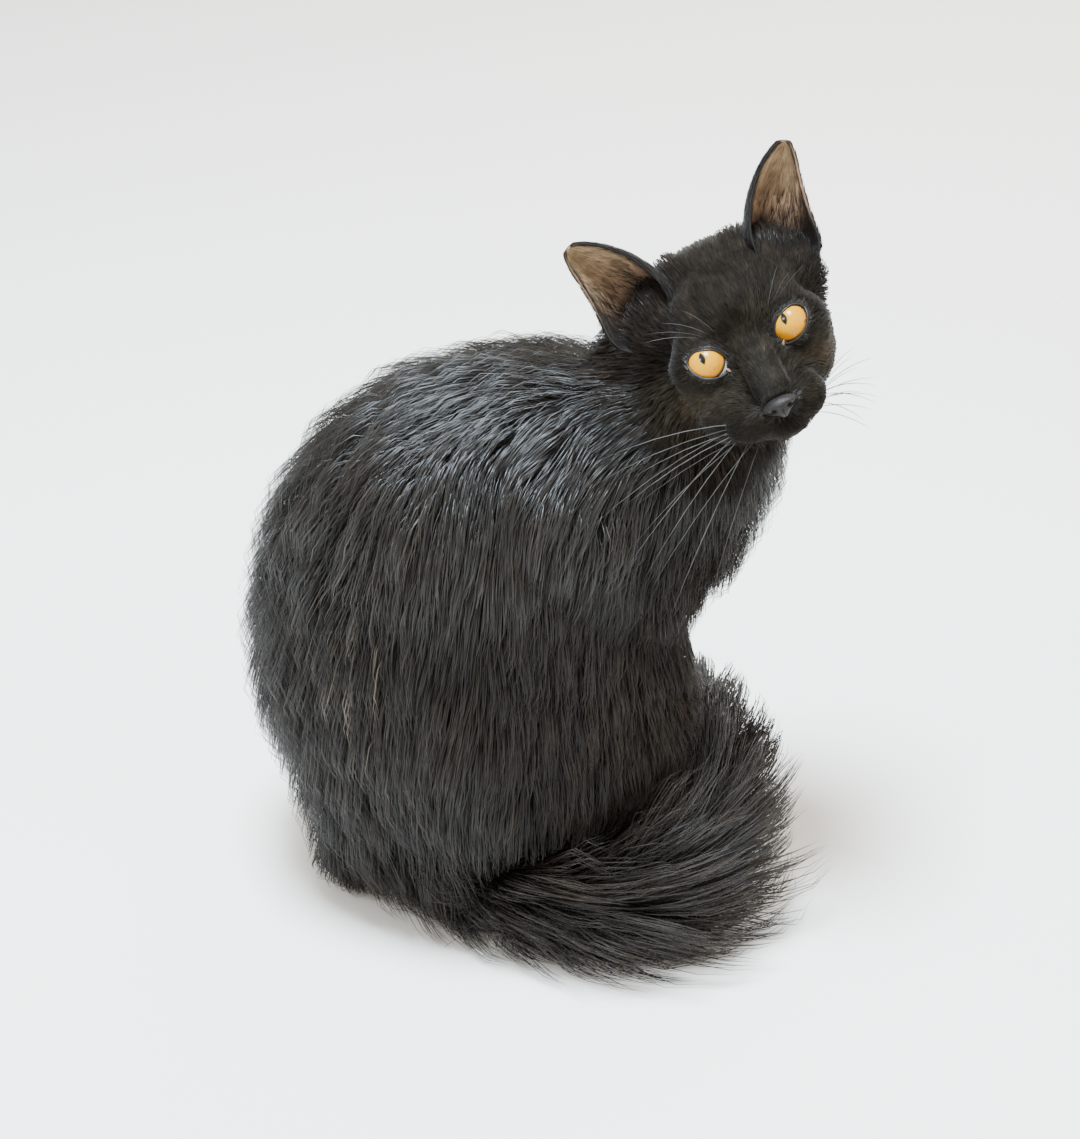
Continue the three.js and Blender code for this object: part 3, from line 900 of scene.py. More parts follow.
EAR_FOOT = {LEFT: (29, 4, 26), RIGHT: (-32.5, 4, 26)}
EAR_TIP = {LEFT: (50.5, 2, 67), RIGHT: (-51, 2, 67)}
EAR_RADIUS = {LEFT: 16.2, RIGHT: 18}
EAR_ROOTED = 0.35
EAR_ROWS, EAR_COLUMNS = 44, 36


def ear_frame(side):
    """Foot, the way to the tip, the way out of the opening, and the way across."""
    foot, tip = np.array(EAR_FOOT[side], float), np.array(EAR_TIP[side], float)
    along = tip - foot
    front = np.array((side * 0.3, -1, -0.1))
    front = unit(front - along * (front @ along) / (along @ along))
    return foot, along, front, np.cross(unit(along), front)


def ear_width(side, s):
    """Half the ear's width: round at the tip, widest low down, and drawn in again to its root."""
    s = np.asarray(s, float)
    narrow = np.clip(1 - s, 0, 2) ** 0.52
    return EAR_RADIUS[side] * narrow * (1 - 0.5 * smooth_step(0.2, -EAR_ROOTED, s)) + 1.0


def ear_point(side, s, u, lift=0.0):
    """A point of the ear's leaf: s from foot to tip, u across from -1 to 1, lifted towards the opening."""
    foot, along, front, cross = ear_frame(side)
    s, u = np.asarray(s, float), np.asarray(u, float)
    radius = ear_width(side, s)
    angle = np.radians(106 - 36 * s) * u
    lean = -3 * np.sin(math.pi * np.maximum(s, 0))
    bow = -side * np.sign(cross[0]) * 2.4 * np.sin(math.pi * np.clip(s, 0, 1))
    r = radius - lift
    place = foot + along * s[..., None]
    place = place + front * (-np.cos(angle) * r + radius * 0.5 + lean)[..., None]
    return place + cross * (np.sin(angle) * r + bow)[..., None]


EAR_DARK = np.array((0.008, 0.0065, 0.0055))
EAR_BROWN = np.array((0.032, 0.019, 0.013))
EAR_FLUSH = np.array((0.28, 0.175, 0.105))
ear_skin, _ = mottled_material("ear_skin", (0.1, 0.06, 0.05), 0.8, 0.15, 160, 0.3, "shade")
for name, side in SIDES:
    deselect()
    bpy.ops.mesh.primitive_grid_add(x_subdivisions=EAR_COLUMNS, y_subdivisions=EAR_ROWS, size=2)
    leaf = bpy.context.active_object
    leaf.name = leaf.data.name = f"ear_leaf_{name}"
    grid = points_of(leaf)
    u, s = grid[:, 0], -EAR_ROOTED + (grid[:, 1] + 1) / 2 * (1 + EAR_ROOTED)
    s = np.minimum(s, 0.995)
    folds = 1.1 * bell(u * side, -0.35, 0.14) * smooth_step(0.75, 0.1, s)
    folds += 0.9 * bell(u * side, 0.15, 0.12) * smooth_step(0.55, 0.0, s)
    put_points(leaf, from_head(ear_point(side, s, u, folds)))
    apply_modifier(leaf, "SOLIDIFY", thickness=1.5 * MM, offset=0)
    only(leaf)
    bpy.ops.object.mode_set(mode="EDIT")
    bpy.ops.mesh.select_all(action="SELECT")
    bpy.ops.mesh.normals_make_consistent(inside=False)
    bpy.ops.object.mode_set(mode="OBJECT")
    apply_modifier(leaf, "SUBSURF", levels=1, render_levels=1)
    co = to_head(points_of(leaf))
    foot, along, front, cross = ear_frame(side)
    normal = normals_of(leaf) @ HEAD_AXES
    inner = smooth_step(-0.1, 0.3, normal @ front)
    s = (co - foot) @ along / (along @ along)
    off = np.abs((co - foot - along * s[:, None]) @ cross) / ear_width(side, s)
    rim = 1 - smooth_step(0.6, 0.95, off)
    thin = inner * rim * smooth_step(0.12, 0.55, s) * smooth_step(1.02, 0.85, s)
    colour = np.ones((len(co), 4), np.float32)
    colour[:, :3] = EAR_DARK + (EAR_BROWN - EAR_DARK) * (inner * rim)[:, None]
    colour[:, :3] += (EAR_FLUSH - colour[:, :3]) * thin[:, None]
    leaf.data.color_attributes.new("shade", "FLOAT_COLOR", "POINT").data.foreach_set("color", colour.ravel())
    leaf.data.shade_smooth()
    leaf.data.materials.append(ear_skin)
    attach(leaf, "root")
    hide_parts(f"ear_{name}")

# ---------------------------------------------------------------------------------------------
# The coat: closed, tapering locks that start in the skin and follow the lie of the coat


def faces_of(obj):
    """Corner indices, areas, normals and middles of a piece's triangles."""
    obj.data.calc_loop_triangles()
    corners = read(obj.data.loop_triangles, "vertices", 3, np.int32)
    co = points_of(obj)
    a, b, c = (co[corners[:, i]] for i in range(3))
    cross = np.cross(b - a, c - a)
    return corners, np.linalg.norm(cross, axis=1) / 2, unit(cross), (a + b + c) / 3


def scatter(corners, share, count):
    """`count` points over triangles that each get their share."""
    chosen = chance.choice(len(corners), size=count, p=share / share.sum())
    u, v = chance.random(count), chance.random(count)
    flip = u + v > 1
    u[flip], v[flip] = 1 - u[flip], 1 - v[flip]
    return chosen, np.stack([1 - u - v, u, v], 1)


def nearest_on(tree, points):
    """The nearest point of a surface, and the face it lies in, for each point."""
    found = [tree.find_nearest(Vector(p)) for p in points]
    return np.array([f[0][:] for f in found]), np.array([f[2] for f in found])


def across(vectors, normals):
    """The part of each vector that lies along the surface."""
    return unit(vectors - normals * (vectors * normals).sum(-1, keepdims=True))


# Width of a lock at each of its rings, and its patch on the bake's map
LOCK_TAPER = {2: (0.8, 0.85), 3: (0.7, 1.0, 0.7), 4: (0.6, 1.0, 0.9, 0.6), 5: (0.6, 1.0, 1.0, 0.85, 0.55)}
PATCH_ACROSS, PATCH_ALONG = 0.0012, 0.0026
ROOT_PAINTED_SHADE = 0.5  # painted shade: how dark a lock is painted at its root, against its own colour, standing in for the shadow deep in the coat
MOST_TRIANGLES = 200000


def lock_mesh(name, path, up, width, colour, root_uv, thick=0.5, steady=True, gloss=0.5):
    """One piece of many locks: `path` holds each lock's rings and its tip, `up` the way each faces."""
    count, rings = path.shape[0], path.shape[1] - 1
    forward = unit(np.diff(path, axis=1))
    side = unit(np.cross(forward, up[:, :rings]))
    top = np.cross(side, forward)
    roll = chance.uniform(-0.35, 0.35, (count, 1, 1))
    side, top = side * np.cos(roll) + top * np.sin(roll), top * np.cos(roll) - side * np.sin(roll)
    w = width[:, None, None] * np.array(LOCK_TAPER[rings])[None, :, None]
    rows = np.empty((count, rings, 3, 3))
    rows[:, :, 0] = path[:, :rings] + side * w / 2 - top * w * thick * 0.4
    rows[:, :, 1] = path[:, :rings] - side * w / 2 - top * w * thick * 0.4
    rows[:, :, 2] = path[:, :rings] + top * w * thick * 0.6
    size = rings * 3 + 1
    verts = np.concatenate([rows.reshape(count, rings * 3, 3), path[:, -1:, :]], 1)

    faces, sizes = [[2, 1, 0]], [3]
    for r in range(rings - 1):
        for i in range(3):
            j = (i + 1) % 3
            faces.append([3 * r + i, 3 * r + j, 3 * r + 3 + j, 3 * r + 3 + i])
            sizes.append(4)
    for i in range(3):
        faces.append([3 * rings - 3 + i, 3 * rings - 3 + (i + 1) % 3, 3 * rings])
        sizes.append(3)
    one = np.concatenate([np.array(f) for f in faces])
    corner = (one[None, :] + np.arange(count)[:, None] * size).ravel()
    totals = np.tile(np.array(sizes), count)
    starts = np.concatenate([[0], np.cumsum(totals)[:-1]])

    mesh = bpy.data.meshes.new(name)
    mesh.vertices.add(count * size)
    mesh.vertices.foreach_set("co", verts.astype(np.float32).ravel())
    mesh.loops.add(len(corner))
    mesh.loops.foreach_set("vertex_index", corner.astype(np.int32))
    mesh.polygons.add(len(totals))
    mesh.polygons.foreach_set("loop_start", starts.astype(np.int32))
    mesh.polygons.foreach_set("use_smooth", np.ones(len(totals), bool))
    mesh.update(calc_edges=True)

    step = np.concatenate([np.repeat(np.arange(rings), 3), [rings]]) / rings
    lane = np.concatenate([np.tile([1.0, -1.0, 0.0], rings), [0.0]])
    patch = np.stack([lane * PATCH_ACROSS, (step - 0.5) * PATCH_ALONG], 1)
    uv = (root_uv[:, None, :] + patch[None]).reshape(-1, 2)[corner]
    mesh.uv_layers.new(name="OFBake").data.foreach_set("uv", uv.astype(np.float32).ravel())
    shade = np.ones((count, size, 4), np.float32)
    shade[:, :, 3] = np.broadcast_to(gloss, count)[:, None]
    # painted shade: each lock is darkened towards its root, as if shaded by the coat over it
    lit = ROOT_PAINTED_SHADE + (1 - ROOT_PAINTED_SHADE) * np.minimum(1, 1.6 * step)
    shade[:, :, :3] = colour[:, None] * lit[None, :, None]
    mesh.color_attributes.new("hair", "FLOAT_COLOR", "POINT").data.foreach_set("color", shade.ravel())

    if steady:  # lit as one surface that follows the skin
        ringed = np.stack([top + side * 0.62, top - side * 0.62, top], 2).reshape(count, rings * 3, 3)
        facing = np.concatenate([ringed, top[:, -1:]], 1)
        mesh.normals_split_custom_set_from_vertices(unit(facing).reshape(-1, 3).tolist())

    obj = in_scene(name, mesh)
    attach(obj, "root")
    assert count * (6 * rings - 2) < MOST_TRIANGLES, name
    return obj


# The unwrap of the skin's own shape, on a plainer copy of it
unwrapped = new_piece("unwrap", [], [])
unwrapped.data = skin.data.copy()
apply_modifier(unwrapped, "REMESH", mode="VOXEL", voxel_size=6 * MM)
only(unwrapped)
bpy.ops.object.mode_set(mode="EDIT")
bpy.ops.mesh.select_all(action="SELECT")
bpy.ops.mesh.quads_convert_to_tris()
bpy.ops.uv.smart_project(angle_limit=math.radians(66), island_margin=0.004)
bpy.ops.object.mode_set(mode="OBJECT")
unwrap_points = points_of(unwrapped)
unwrap_uv = read(unwrapped.data.uv_layers.active.data, "uv", 2).reshape(-1, 3, 2)
unwrap_corners = read(unwrapped.data.loops, "vertex_index", kind=np.int32).reshape(-1, 3)
unwrap_tree = BVHTree.FromPolygons(unwrap_points.tolist(), unwrap_corners.tolist())


def uv_of(points):
    where, face = nearest_on(unwrap_tree, points)
    a, b, c = (unwrap_points[unwrap_corners[face, i]] for i in range(3))
    whole = np.linalg.norm(np.cross(b - a, c - a), axis=1) + 1e-12
    wa = np.linalg.norm(np.cross(b - where, c - where), axis=1) / whole
    wb = np.linalg.norm(np.cross(c - where, a - where), axis=1) / whole
    share = np.stack([wa, wb, np.clip(1 - wa - wb, 0, 1)], 1)
    return (unwrap_uv[face] * share[:, :, None]).sum(1)


# Depth of the coat at each face of the skin: out to the solids, along the skin's normal
shell = merged(joined([copy_of_solid(n) for n in flesh_nodes + tail_nodes + ["head"]], "shell"))
shell_corners = faces_of(shell)[0]
shell_tree = BVHTree.FromPolygons(points_of(shell).tolist(), shell_corners.tolist())

skin_corners, skin_area, _, skin_middle = faces_of(skin)
skin_points = points_of(skin)
skin_tree = BVHTree.FromPolygons(skin_points.tolist(), skin_corners.tolist())


def near(layout, middle, radii):
    return np.exp(-(((layout - middle) / radii) ** 2).sum(-1))


def to_layout(points):
    """World points in the layout's millimetres."""
    return (points - np.array(OFFSET)) / MM


def evened(values, rounds):
    """Values at the points of the skin, each averaged with its neighbours `rounds` times."""
    values = values.reshape(len(skin_points), -1).copy()
    ends = np.concatenate([edges, edges[:, ::-1]])
    number = np.maximum(np.bincount(ends[:, 0], minlength=len(values)), 1)
    for _ in range(rounds):
        for k in range(values.shape[1]):
            total = np.bincount(ends[:, 0], weights=values[ends[:, 1], k], minlength=len(values))
            values[:, k] = 0.5 * values[:, k] + 0.5 * total / number
    return values


face_of_cat = smooth_step(-2, -16, to_head(skin_points)[:, 1]) * (np.abs(to_head(skin_points)).max(1) < 60)
rough_normal = normals_of(skin)
calm_normal = unit(evened(rough_normal, 24))
vertex_normal = unit(calm_normal + (unit(evened(rough_normal, 3)) - calm_normal) * face_of_cat[:, None])
smooth_normal = unit(vertex_normal[skin_corners].sum(1))
vertex_weight = weights_of_landmarks(skin_points)
face_weight = vertex_weight[skin_corners].mean(1)
face_lie = across(face_weight @ mark_lie, smooth_normal)
face_length = face_weight @ mark_length * MM
vertex_wanted = vertex_weight @ mark_depth * MM
face_local = to_head(skin_middle)


def room_above(points, normals):
    """How far it is from the skin out to the solids, along the normal."""
    room = np.full(len(points), 99.0)
    for i, (p, n) in enumerate(zip(points, normals)):
        hit = shell_tree.ray_cast(Vector(p), Vector(n), 0.03)
        if hit[0] is not None:
            room[i] = hit[3]
    return room


vertex_room = np.clip(room_above(skin_points, vertex_normal), 0.35 * vertex_wanted, 1.15 * vertex_wanted)
nape = near(to_head(skin_points), (-47, 28, 17), (16, 22, 20)) * 4.5 * MM
face_depth = (evened(vertex_room, 16)[:, 0] + nape)[skin_corners].mean(1)

bare = np.linalg.norm((face_local - (0, -56, -21)) / (8.4, 7.0, 6.0), axis=1) < 1
for side in (LEFT, RIGHT):
    close = near_eye(face_local, side, 16)
    from_lid = lid_distance(face_local[close], side)[0]
    bare[close[from_lid < 6.5]] = True
    face_length[close] *= 0.4 + 0.6 * smooth_step(6, 34, from_lid)

# How full the coat is: its outermost locks reach the solids, and the ruff ends in a step over the shoulder
FULLNESS = 1.42
layout = to_layout(skin_middle)
from_ruff = np.linalg.norm(layout - (-20, -40, 240), axis=1) - 87
side_of_ruff = smooth_step(-65, -35, layout[:, 1]) * smooth_step(-10, -45, layout[:, 0])
fullness = FULLNESS + side_of_ruff * (0.5 * bell(from_ruff, -9, 9) - 0.7 * bell(from_ruff, 7, 7))
lean, up = 0.7071 * (layout[:, 0] + layout[:, 1]), layout[:, 2]
fullness += 0.4 * smooth_step(60, 105, lean) * smooth_step(30, 60, up)
fullness -= 0.5 * smooth_step(-50, -65, lean) * smooth_step(190, 175, up) * smooth_step(110, 130, up)
tail_far = np.min(np.linalg.norm(skin_middle[:, None] - tail_path[None, 2:], axis=2), axis=1)


def swell(points, size, count=9):
    """An even, wandering value from about -1 to 1 that changes over `size` millimetres."""
    once = 2 * math.pi / (size * MM)
    waves = unit(chance.normal(size=(count, 3))) * once * chance.uniform(0.6, 1.5, (count, 1))
    start = chance.random(count) * 2 * math.pi
    return np.sin(points @ waves.T + start).sum(1) * math.sqrt(2 / count) * 0.7


def march(roots, faces, length, rings, wander):
    """Points along the skin from each root, with the normal and the depth of the coat at each."""
    path, normal, depth, face = [roots], [smooth_normal[faces]], [face_depth[faces]], faces
    turned = (wander * (0.8 * swell(roots, 26) + 0.35 * chance.normal(size=len(roots))))[:, None]
    curl = (wander * (0.7 * swell(roots, 18) + 0.3 * chance.normal(size=len(roots))))[:, None]
    for ring in range(rings):
        lie = face_lie[face]
        swing = turned + curl * (2 * ring / max(1, rings - 1) - 1)
        lie = unit(lie + np.cross(normal[-1], lie) * swing)
        where, face = nearest_on(skin_tree, path[-1] + lie * (length / rings)[:, None])
        path.append(where)
        normal.append(smooth_normal[face])
        depth.append(face_depth[face])
    return np.stack(path, 1), np.stack(normal, 1), np.stack(depth, 1)


BLACK = np.array((0.0076, 0.0060, 0.0044))
BROWN = np.array((0.020, 0.0125, 0.0075))
WARM_BLACK = np.array((0.0128, 0.0101, 0.0066))
CHEEK_PAINTED_LIGHT = np.array((0.058, 0.046, 0.031))
PALE = np.array((0.11, 0.09, 0.07))
GOLD = np.array((0.20, 0.125, 0.06))
EAR_DOWN = np.array((0.020, 0.0125, 0.008))
STRAW = np.array((0.46, 0.32, 0.175))


def coat_colour(points):
    """Black: browner on chest and flank, warmer on the face, painted light as a paler brown patch on each
    cheek, pale strands behind, gold by the right ear.
    """
    layout, local = to_layout(points), to_head(points)
    brown = 0.16 + 0.5 * near(layout, (-30, -75, 165), (60, 45, 70))
    brown = brown + 0.35 * near(layout, (-60, -10, 100), (40, 45, 45))
    brown += 0.15 * near(layout, (-60, 60, 130), (60, 60, 50))
    brown = np.clip(brown + 0.10 * swell(points, 40), 0, 1)
    colour = towards(BLACK, BROWN, brown[:, None])
    back = near(layout, (8, 112, 165), (26, 40, 55))
    streak = np.clip(back * smooth_step(0.35, 1.1, swell(points * (3.5, 3.5, 0.35), 22)), 0, 1)
    colour = towards(colour, PALE, streak[:, None] * 0.8)
    colour = towards(colour, WARM_BLACK, near(local, (0, -40, -8), (42, 30, 36))[:, None])
    mirrored = local.copy()
    mirrored[:, 0] = np.abs(mirrored[:, 0])
    # painted light: a paler brown patch on each cheek, lighter as where light falls on the cheek
    colour = towards(colour, CHEEK_PAINTED_LIGHT, 0.85 * near(mirrored, (29, -22, -15), (14, 14, 13))[:, None])
    golden = near(local, (-46, 22, 14), (10, 14, 16)) * smooth_step(-0.2, 0.9, swell(points, 7))
    return colour + (GOLD - colour) * (0.6 * golden)[:, None]


def clumps(points, size):
    """For each lock, the lock at the middle of its clump of about `size`."""
    count = len(points)
    seeds = chance.choice(count, size=max(8, count // size), replace=False)
    tree = KDTree(len(seeds))
    for i, seed in enumerate(seeds):
        tree.insert(points[seed], i)
    tree.balance()
    return seeds[[tree.find(Vector(p))[1] for p in points]]


def lock_tones(mine, spread, depth, roots, painted_glint):
    """How light each lock is: by chance and its clump's chance, with painted shade by its depth, so locks
    lying lower in the coat are darker, and a few strays made paler as painted glints of sheen.
    """
    count = len(mine)
    tone = 0.55 + spread * (0.6 * chance.random(count) + 0.4 * chance.random(count)[mine]) ** 1.2
    # painted shade: the lower a lock lies in the coat, the darker it is made
    tone *= depth
    tone *= 1 + 0.25 * np.clip(swell(roots, 15), -1, 1)
    # painted glints: a few stray locks are made paler to stand in for sheen on single hairs
    tone[chance.random(count) < 0.03] *= painted_glint
    return tone


# How far each ring of a lock stands up into the coat, and how deep its root is set in the skin
RISE = {2: (0, 0.95, 0.85), 3: (0, 0.9, 1.0, 0.7)}
ROOT_SET = 0.4
CLEAR_OF_FLOOR = 0.6


def grow(name, where, count, rings, width, wander=0.12, clump=16, pull=0.3):
    """Locks over the faces in `where`, a mask. Each starts in the skin and lies at its own height."""
    corners = skin_corners[where]
    numbers = np.flatnonzero(where)
    chosen, bary = scatter(corners, skin_area[where], count)
    roots = (skin_points[corners[chosen]] * bary[:, :, None]).sum(1)
    faces = numbers[chosen]
    length = face_length[faces] * chance.uniform(0.7, 1.2, count)
    path, normal, depth = march(roots, faces, length, rings, wander)
    t = np.linspace(0, 1, rings + 1)
    mine = clumps(path[:, rings // 2 + 1], clump)
    path = path + (path[mine] - path) * (pull * t[None, :, None] ** 1.5)  # their ends draw together
    level = chance.uniform(0.15, 1.0, count) ** 0.75
    level = 0.65 * level + 0.35 * level[mine]
    height = (level * fullness[faces])[:, None] * depth * np.array(RISE[rings])[None]
    height[:, 0] = -ROOT_SET * MM
    path = path + normal * height[:, :, None]
    if rings > 2:
        path[:, 1:-1] = 0.5 * path[:, 1:-1] + 0.25 * (path[:, :-2] + path[:, 2:])
    path[:, :, 2] = np.maximum(path[:, :, 2], CLEAR_OF_FLOOR * MM)
    wide = width * MM * chance.uniform(0.65, 1.3, count)
    # painted shade by how high each lock stands in the coat, and painted glints on a few strays
    tone = lock_tones(mine, 0.6, 0.65 + 0.6 * level, roots, 1.8)
    colour = coat_colour(path[:, rings // 2]) * tone[:, None]
    # the guard hairs shine most along the back and shoulders
    gloss = 0.28 + 0.72 * smooth_step(0.185, 0.24, roots[:, 2])
    gloss = gloss * (1 - 0.7 * smooth_step(20, -25, to_layout(roots)[:, 1]))
    return lock_mesh(name, path, normal, wide, colour, uv_of(roots), thick=0.35, gloss=gloss)


# Tail: locks round the bone, splayed out to the plume
TAIL_END = 15  # how far the hair runs past the end of the bone
PLUME = 1.27  # how far the longest hair stands out, against the solids


def tail_coat(name, count, rings=4):
    stations = 90
    knots = np.concatenate([[0], np.cumsum(np.linalg.norm(np.diff(tail_path, axis=0), axis=1))])
    whole = knots[-1]
    s = np.linspace(0, whole, stations)
    line = np.stack([np.interp(s, knots, tail_path[:, i]) for i in range(3)], 1)
    for _ in range(6):
        line[1:-1] = (line[:-2] + 2 * line[1:-1] + line[2:]) / 4
    tangent = unit(np.gradient(line, axis=0))
    first = unit(np.cross(tangent, (0, 0, 1.0)))
    second = np.cross(tangent, first)
    bone = np.interp(s, knots, TAIL_BONE) * MM
    turns = 24
    reach = np.zeros((stations, turns))
    for i in range(stations):
        for j in range(turns):
            a = 2 * math.pi * j / turns
            way = first[i] * math.cos(a) + second[i] * math.sin(a)
            hit = tail_shell_tree.ray_cast(Vector(line[i]), Vector(way), 0.09)
            reach[i, j] = hit[3] if hit[0] is not None else tail_reach.mean() * MM
    reach[-1] = reach[-2]

    def place(s_at, angle, out):
        """Points at a length along the tail, a turn round it, and a share of the way out to the plume."""
        beyond = np.maximum(s_at - whole, 0)
        k = np.clip(s_at / whole * (stations - 1), 0, stations - 1.001)
        i = k.astype(int)
        f = (k - i)[..., None]
        mid = line[i] * (1 - f) + line[i + 1] * f
        tan = unit(tangent[i] * (1 - f) + tangent[i + 1] * f)
        one = unit(first[i] * (1 - f) + first[i + 1] * f)
        two = unit(second[i] * (1 - f) + second[i + 1] * f)
        j = angle / (2 * math.pi) * turns
        j0 = np.floor(j).astype(int) % turns
        g = j - np.floor(j)
        far = PLUME * (reach[i, j0] * (1 - g) + reach[i, (j0 + 1) % turns] * g)
        core = bone[i]
        past = beyond / (TAIL_END * MM)
        far = far * np.sqrt(1 - 0.7 * np.clip(past, 0, 1) ** 2)
        beyond = TAIL_END * MM * np.tanh(past)
        way = one * np.cos(angle)[..., None] + two * np.sin(angle)[..., None]
        radius = core * 0.85 * (1 - out) + far * out
        return mid + tan * beyond[..., None] + way * radius[..., None], way, radius

    start = chance.beta(1.1, 1.0, count) * (whole + 6 * MM)
    angle = chance.random(count) * 2 * math.pi
    long = chance.uniform(34, 58, count) * MM * np.interp(start, [0, 0.3 * whole, whole], [0.8, 1, 0.5])
    swing = chance.normal(0, 0.10, count)
    top = chance.uniform(0.35, 1.0, count) ** 0.8
    t = np.linspace(0, 1, rings + 1)
    s_at = start[:, None] + long[:, None] * t[None]
    out = top[:, None] * (1 - (1 - t[None]) ** 2.2)
    turn = angle[:, None] + swing[:, None] * t[None] * 2
    path, way, radius = place(s_at, turn % (2 * math.pi), out)
    # long hair runs straighter than the tail bends
    step = path[:, 1:2] - path[:, :1]
    step = step - way[:, :1] * (step * way[:, :1]).sum(-1, keepdims=True)
    spread = way[:, :1] * (radius - radius[:, :1])[:, :, None]
    straight = path[:, :1] + step * (t / t[1])[None, :, None] + spread
    path = path + (straight - path) * (0.6 * top[:, None] * t[None])[:, :, None]
    mine = clumps(path[:, 2], 14)
    path = path + (path[mine] - path) * (0.6 * t[None, :, None] ** 1.5)
    path[:, :, 2] = np.maximum(path[:, :, 2], 0.8 * MM + 0.02 * (path[:, :, 2] + 0.03))
    # painted shade by how far out each lock stands in the plume, and painted glints on a few strays
    tone = lock_tones(mine, 0.65, 0.55 + 0.6 * top, path[:, 0], 1.6)
    brown = np.clip(0.55 + 0.3 * swell(path[:, 2], 30), 0, 1)[:, None]
    ends = smooth_step(0.86, 1.05, start / whole)[:, None] * 0.22
    colour = towards(towards(BLACK, BROWN, brown), PALE, ends)
    wide = 0.6 * MM * chance.uniform(0.65, 1.3, count)
    return lock_mesh(name, path, way, wide, colour * tone[:, None], uv_of(path[:, 0]), steady=False)


tail_shell = merged(joined([copy_of_solid(n) for n in tail_nodes], "tail_shell"))
tail_shell_tree = BVHTree.FromPolygons(points_of(tail_shell).tolist(), faces_of(tail_shell)[0].tolist())

on_tail = tail_far < 15 * MM
reach_of_head = np.linalg.norm(face_local - (0, 0, -4), axis=1)
face_area = (reach_of_head < 62) & ~on_tail
front = face_area & (face_local[:, 1] < -6) & ~bare
back_of_head = face_area & ~front
rest = ~face_area & ~on_tail

height = skin_middle[:, 2]
under = (height < 4 * MM) & (smooth_normal[:, 2] < -0.5)
muzzle = front & (face_local[:, 1] < -26)
brow = front & ~muzzle
coat_pieces = [
    grow("coat_muzzle", muzzle, 16500, 2, 0.36, wander=0.08, clump=8, pull=0.15),
    grow("coat_brow", brow, 14500, 2, 0.42, wander=0.10, clump=10, pull=0.35),
    grow("coat_head", back_of_head, 11500, 3, 0.42, wander=0.12, clump=12, pull=0.25),
]
BANDS = (
    ("low", 0, 0.075),
    ("haunch", 0.075, 0.125),
    ("flank", 0.125, 0.165),
    ("loin", 0.165, 0.21),
    ("shoulder", 0.21, 0.4),
)
for band, low, high in BANDS:
    here = rest & ~under & (height >= low) & (height < high)
    coat_pieces.append(grow("coat_" + band, here, 9200, 3, 0.47))
coat_pieces += [tail_coat("coat_tail", 8600)]


def ear_hair(name, side, count, inner):
    """Short hair along the ear's leaf, inside or on its back, from the foot to the tip."""
    height = float(np.linalg.norm(ear_frame(side)[1]))
    s = chance.uniform(-0.05, 0.97, count)
    u = chance.uniform(-0.97, 0.97, count)
    if inner:
        long = chance.uniform(7, 13, count) * (1 - 0.4 * np.clip(s, 0, 1)) / height
    else:
        long = chance.uniform(4, 7, count) / height
    t = np.linspace(0, 1, 3)
    s_at = np.minimum(s[:, None] + long[:, None] * t, 0.99)
    drift = chance.normal(0.12, 0.10, count) * side if inner else chance.normal(0, 0.05, count)
    u_at = np.clip(u[:, None] + (drift[:, None] + 0.12 * u[:, None]) * t, -1, 1)
    rise = chance.uniform(0.3, 1.6, count) if inner else chance.uniform(0.1, 0.7, count)
    way = 1 if inner else -1
    lift = way * (0.35 + (0.45 + rise[:, None]) * t)
    path = ear_point(side, s_at, u_at, lift)
    up = ear_point(side, s_at, u_at, lift + way * 0.5) - path
    shape = path.shape
    path = from_head(path.reshape(-1, 3)).reshape(shape)
    up = unit((up.reshape(-1, 3) @ HEAD_AXES.T).reshape(shape))
    light = smooth_step(0.15, 0.75, s) * smooth_step(0.97, 0.6, np.abs(u)) * inner
    colour = towards(EAR_DOWN if inner else BLACK, STRAW, light[:, None])
    colour = colour * chance.uniform(0.4, 1.25, (count, 1))
    wide = (0.22 if inner else 0.42) * MM * chance.uniform(0.7, 1.3, count)
    return lock_mesh(name, path, up, wide, colour, uv_of(path[:, 0]))


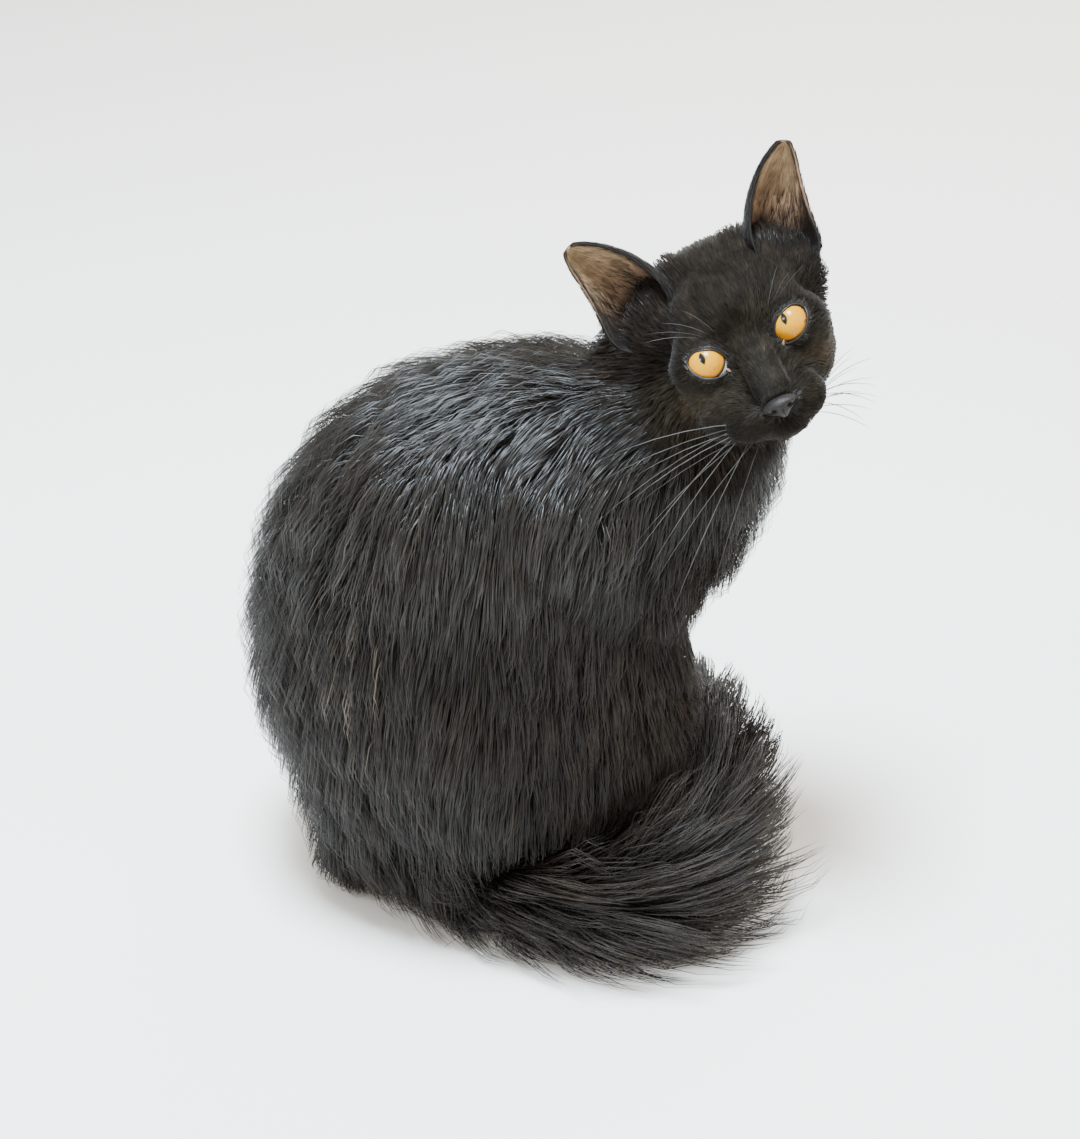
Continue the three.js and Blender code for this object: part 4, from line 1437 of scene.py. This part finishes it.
def whiskers(name):
    """Long stiff hairs, fanned from each pad, and a few over each eye."""
    paths = []
    for side in (LEFT, RIGHT):
        for k in range(12):
            row, share = k % 3, k / 11
            root = np.array((side * (20 - 3.5 * row), -45.5 - 1.5 * row, -22 - 7 * share - 1.5 * row))
            fan = math.radians(20 - 62 * share + chance.normal(0, 4))
            long = chance.uniform(52, 78) * (0.62 if side == LEFT else 1)
            back = chance.uniform(-0.05, 0.35) + (0.75 if side == LEFT else 0)
            way = unit(np.array((side * math.cos(fan), back, math.sin(fan))))
            paths.append(stiff_hair(root, way, long))
        for k in range(4):
            root = np.array((side * (11 + 3 * k), -32.5, 14.0 + 0.6 * k))
            way = unit(np.array((side * (0.25 + 0.3 * k), -0.45, 0.9)))
            paths.append(stiff_hair(root, way, chance.uniform(20, 30)))
    path = np.array(paths)
    shape = path.shape
    path = from_head(path.reshape(-1, 3)).reshape(shape)
    up = np.broadcast_to(np.array((0.1, 0.2, 1.0)), shape)
    count = len(path)
    brow = np.arange(count) % 16 >= 12
    wide = np.where(brow, 0.2, 0.3) * MM
    colour = np.where(brow, 0.05, 0.075)[:, None] * chance.uniform(0.4, 1.1, (count, 1)) * (1, 0.94, 0.84)
    return lock_mesh(name, path, up, wide, colour, uv_of(path[:, 0]), thick=1.0)


def stiff_hair(root, way, long):
    """A hair that leaves its root along `way` and droops towards its end."""
    t = np.linspace(0, 1, 6)[:, None]
    down = np.array((-0.42, 0.23, -0.88))
    return root + way * long * (t - 0.06) + down * (0.24 * long * t * t)


stiff = [whiskers("whiskers")]
for name, side in SIDES:
    coat_pieces.append(ear_hair(f"ear_back_{name}", side, 2600, False))
    stiff.append(ear_hair(f"ear_inside_{name}", side, 1500, True))


def hair_material(name, roughness, shine):
    """Hair: the colour each lock carries, a little uneven from strand to strand."""
    material, shader = mottled_material(name, (0.01, 0.01, 0.01), roughness, shine, 220, 0.3, "hair")
    shader.inputs["Sheen Weight"].default_value = 0.05
    shader.inputs["Sheen Roughness"].default_value = 0.4
    nodes, links = material.node_tree.nodes, material.node_tree.links
    carried = next(n for n in nodes if n.bl_idname == "ShaderNodeAttribute")
    scaled = nodes.new("ShaderNodeMath")
    scaled.operation = "MULTIPLY"
    scaled.inputs[1].default_value = shine
    links.new(carried.outputs["Alpha"], scaled.inputs[0])
    links.new(scaled.outputs[0], shader.inputs["Specular IOR Level"])
    return material


black_coat = hair_material("black_coat", 0.4, 0.42)
face_coat = hair_material("face_coat", 0.6, 0.10)
pale_hair = hair_material("pale_hair", 0.5, 0.3)
for pieces, material in ((coat_pieces[:2], face_coat), (coat_pieces[2:], black_coat), (stiff, pale_hair)):
    for piece in pieces:
        piece.data.materials.append(material)

# Under the long coat of the body the skin is left with fewer faces
from_head_middle = np.linalg.norm(to_head(skin_points), axis=1)
edit_faces_of(skin, (from_head_middle > 75) & (skin_points[:, 2] > 0.04))
bpy.ops.mesh.decimate(ratio=0.6)
bpy.ops.object.mode_set(mode="OBJECT")
for helper in (unwrapped, shell, tail_shell):
    bpy.data.objects.remove(helper)
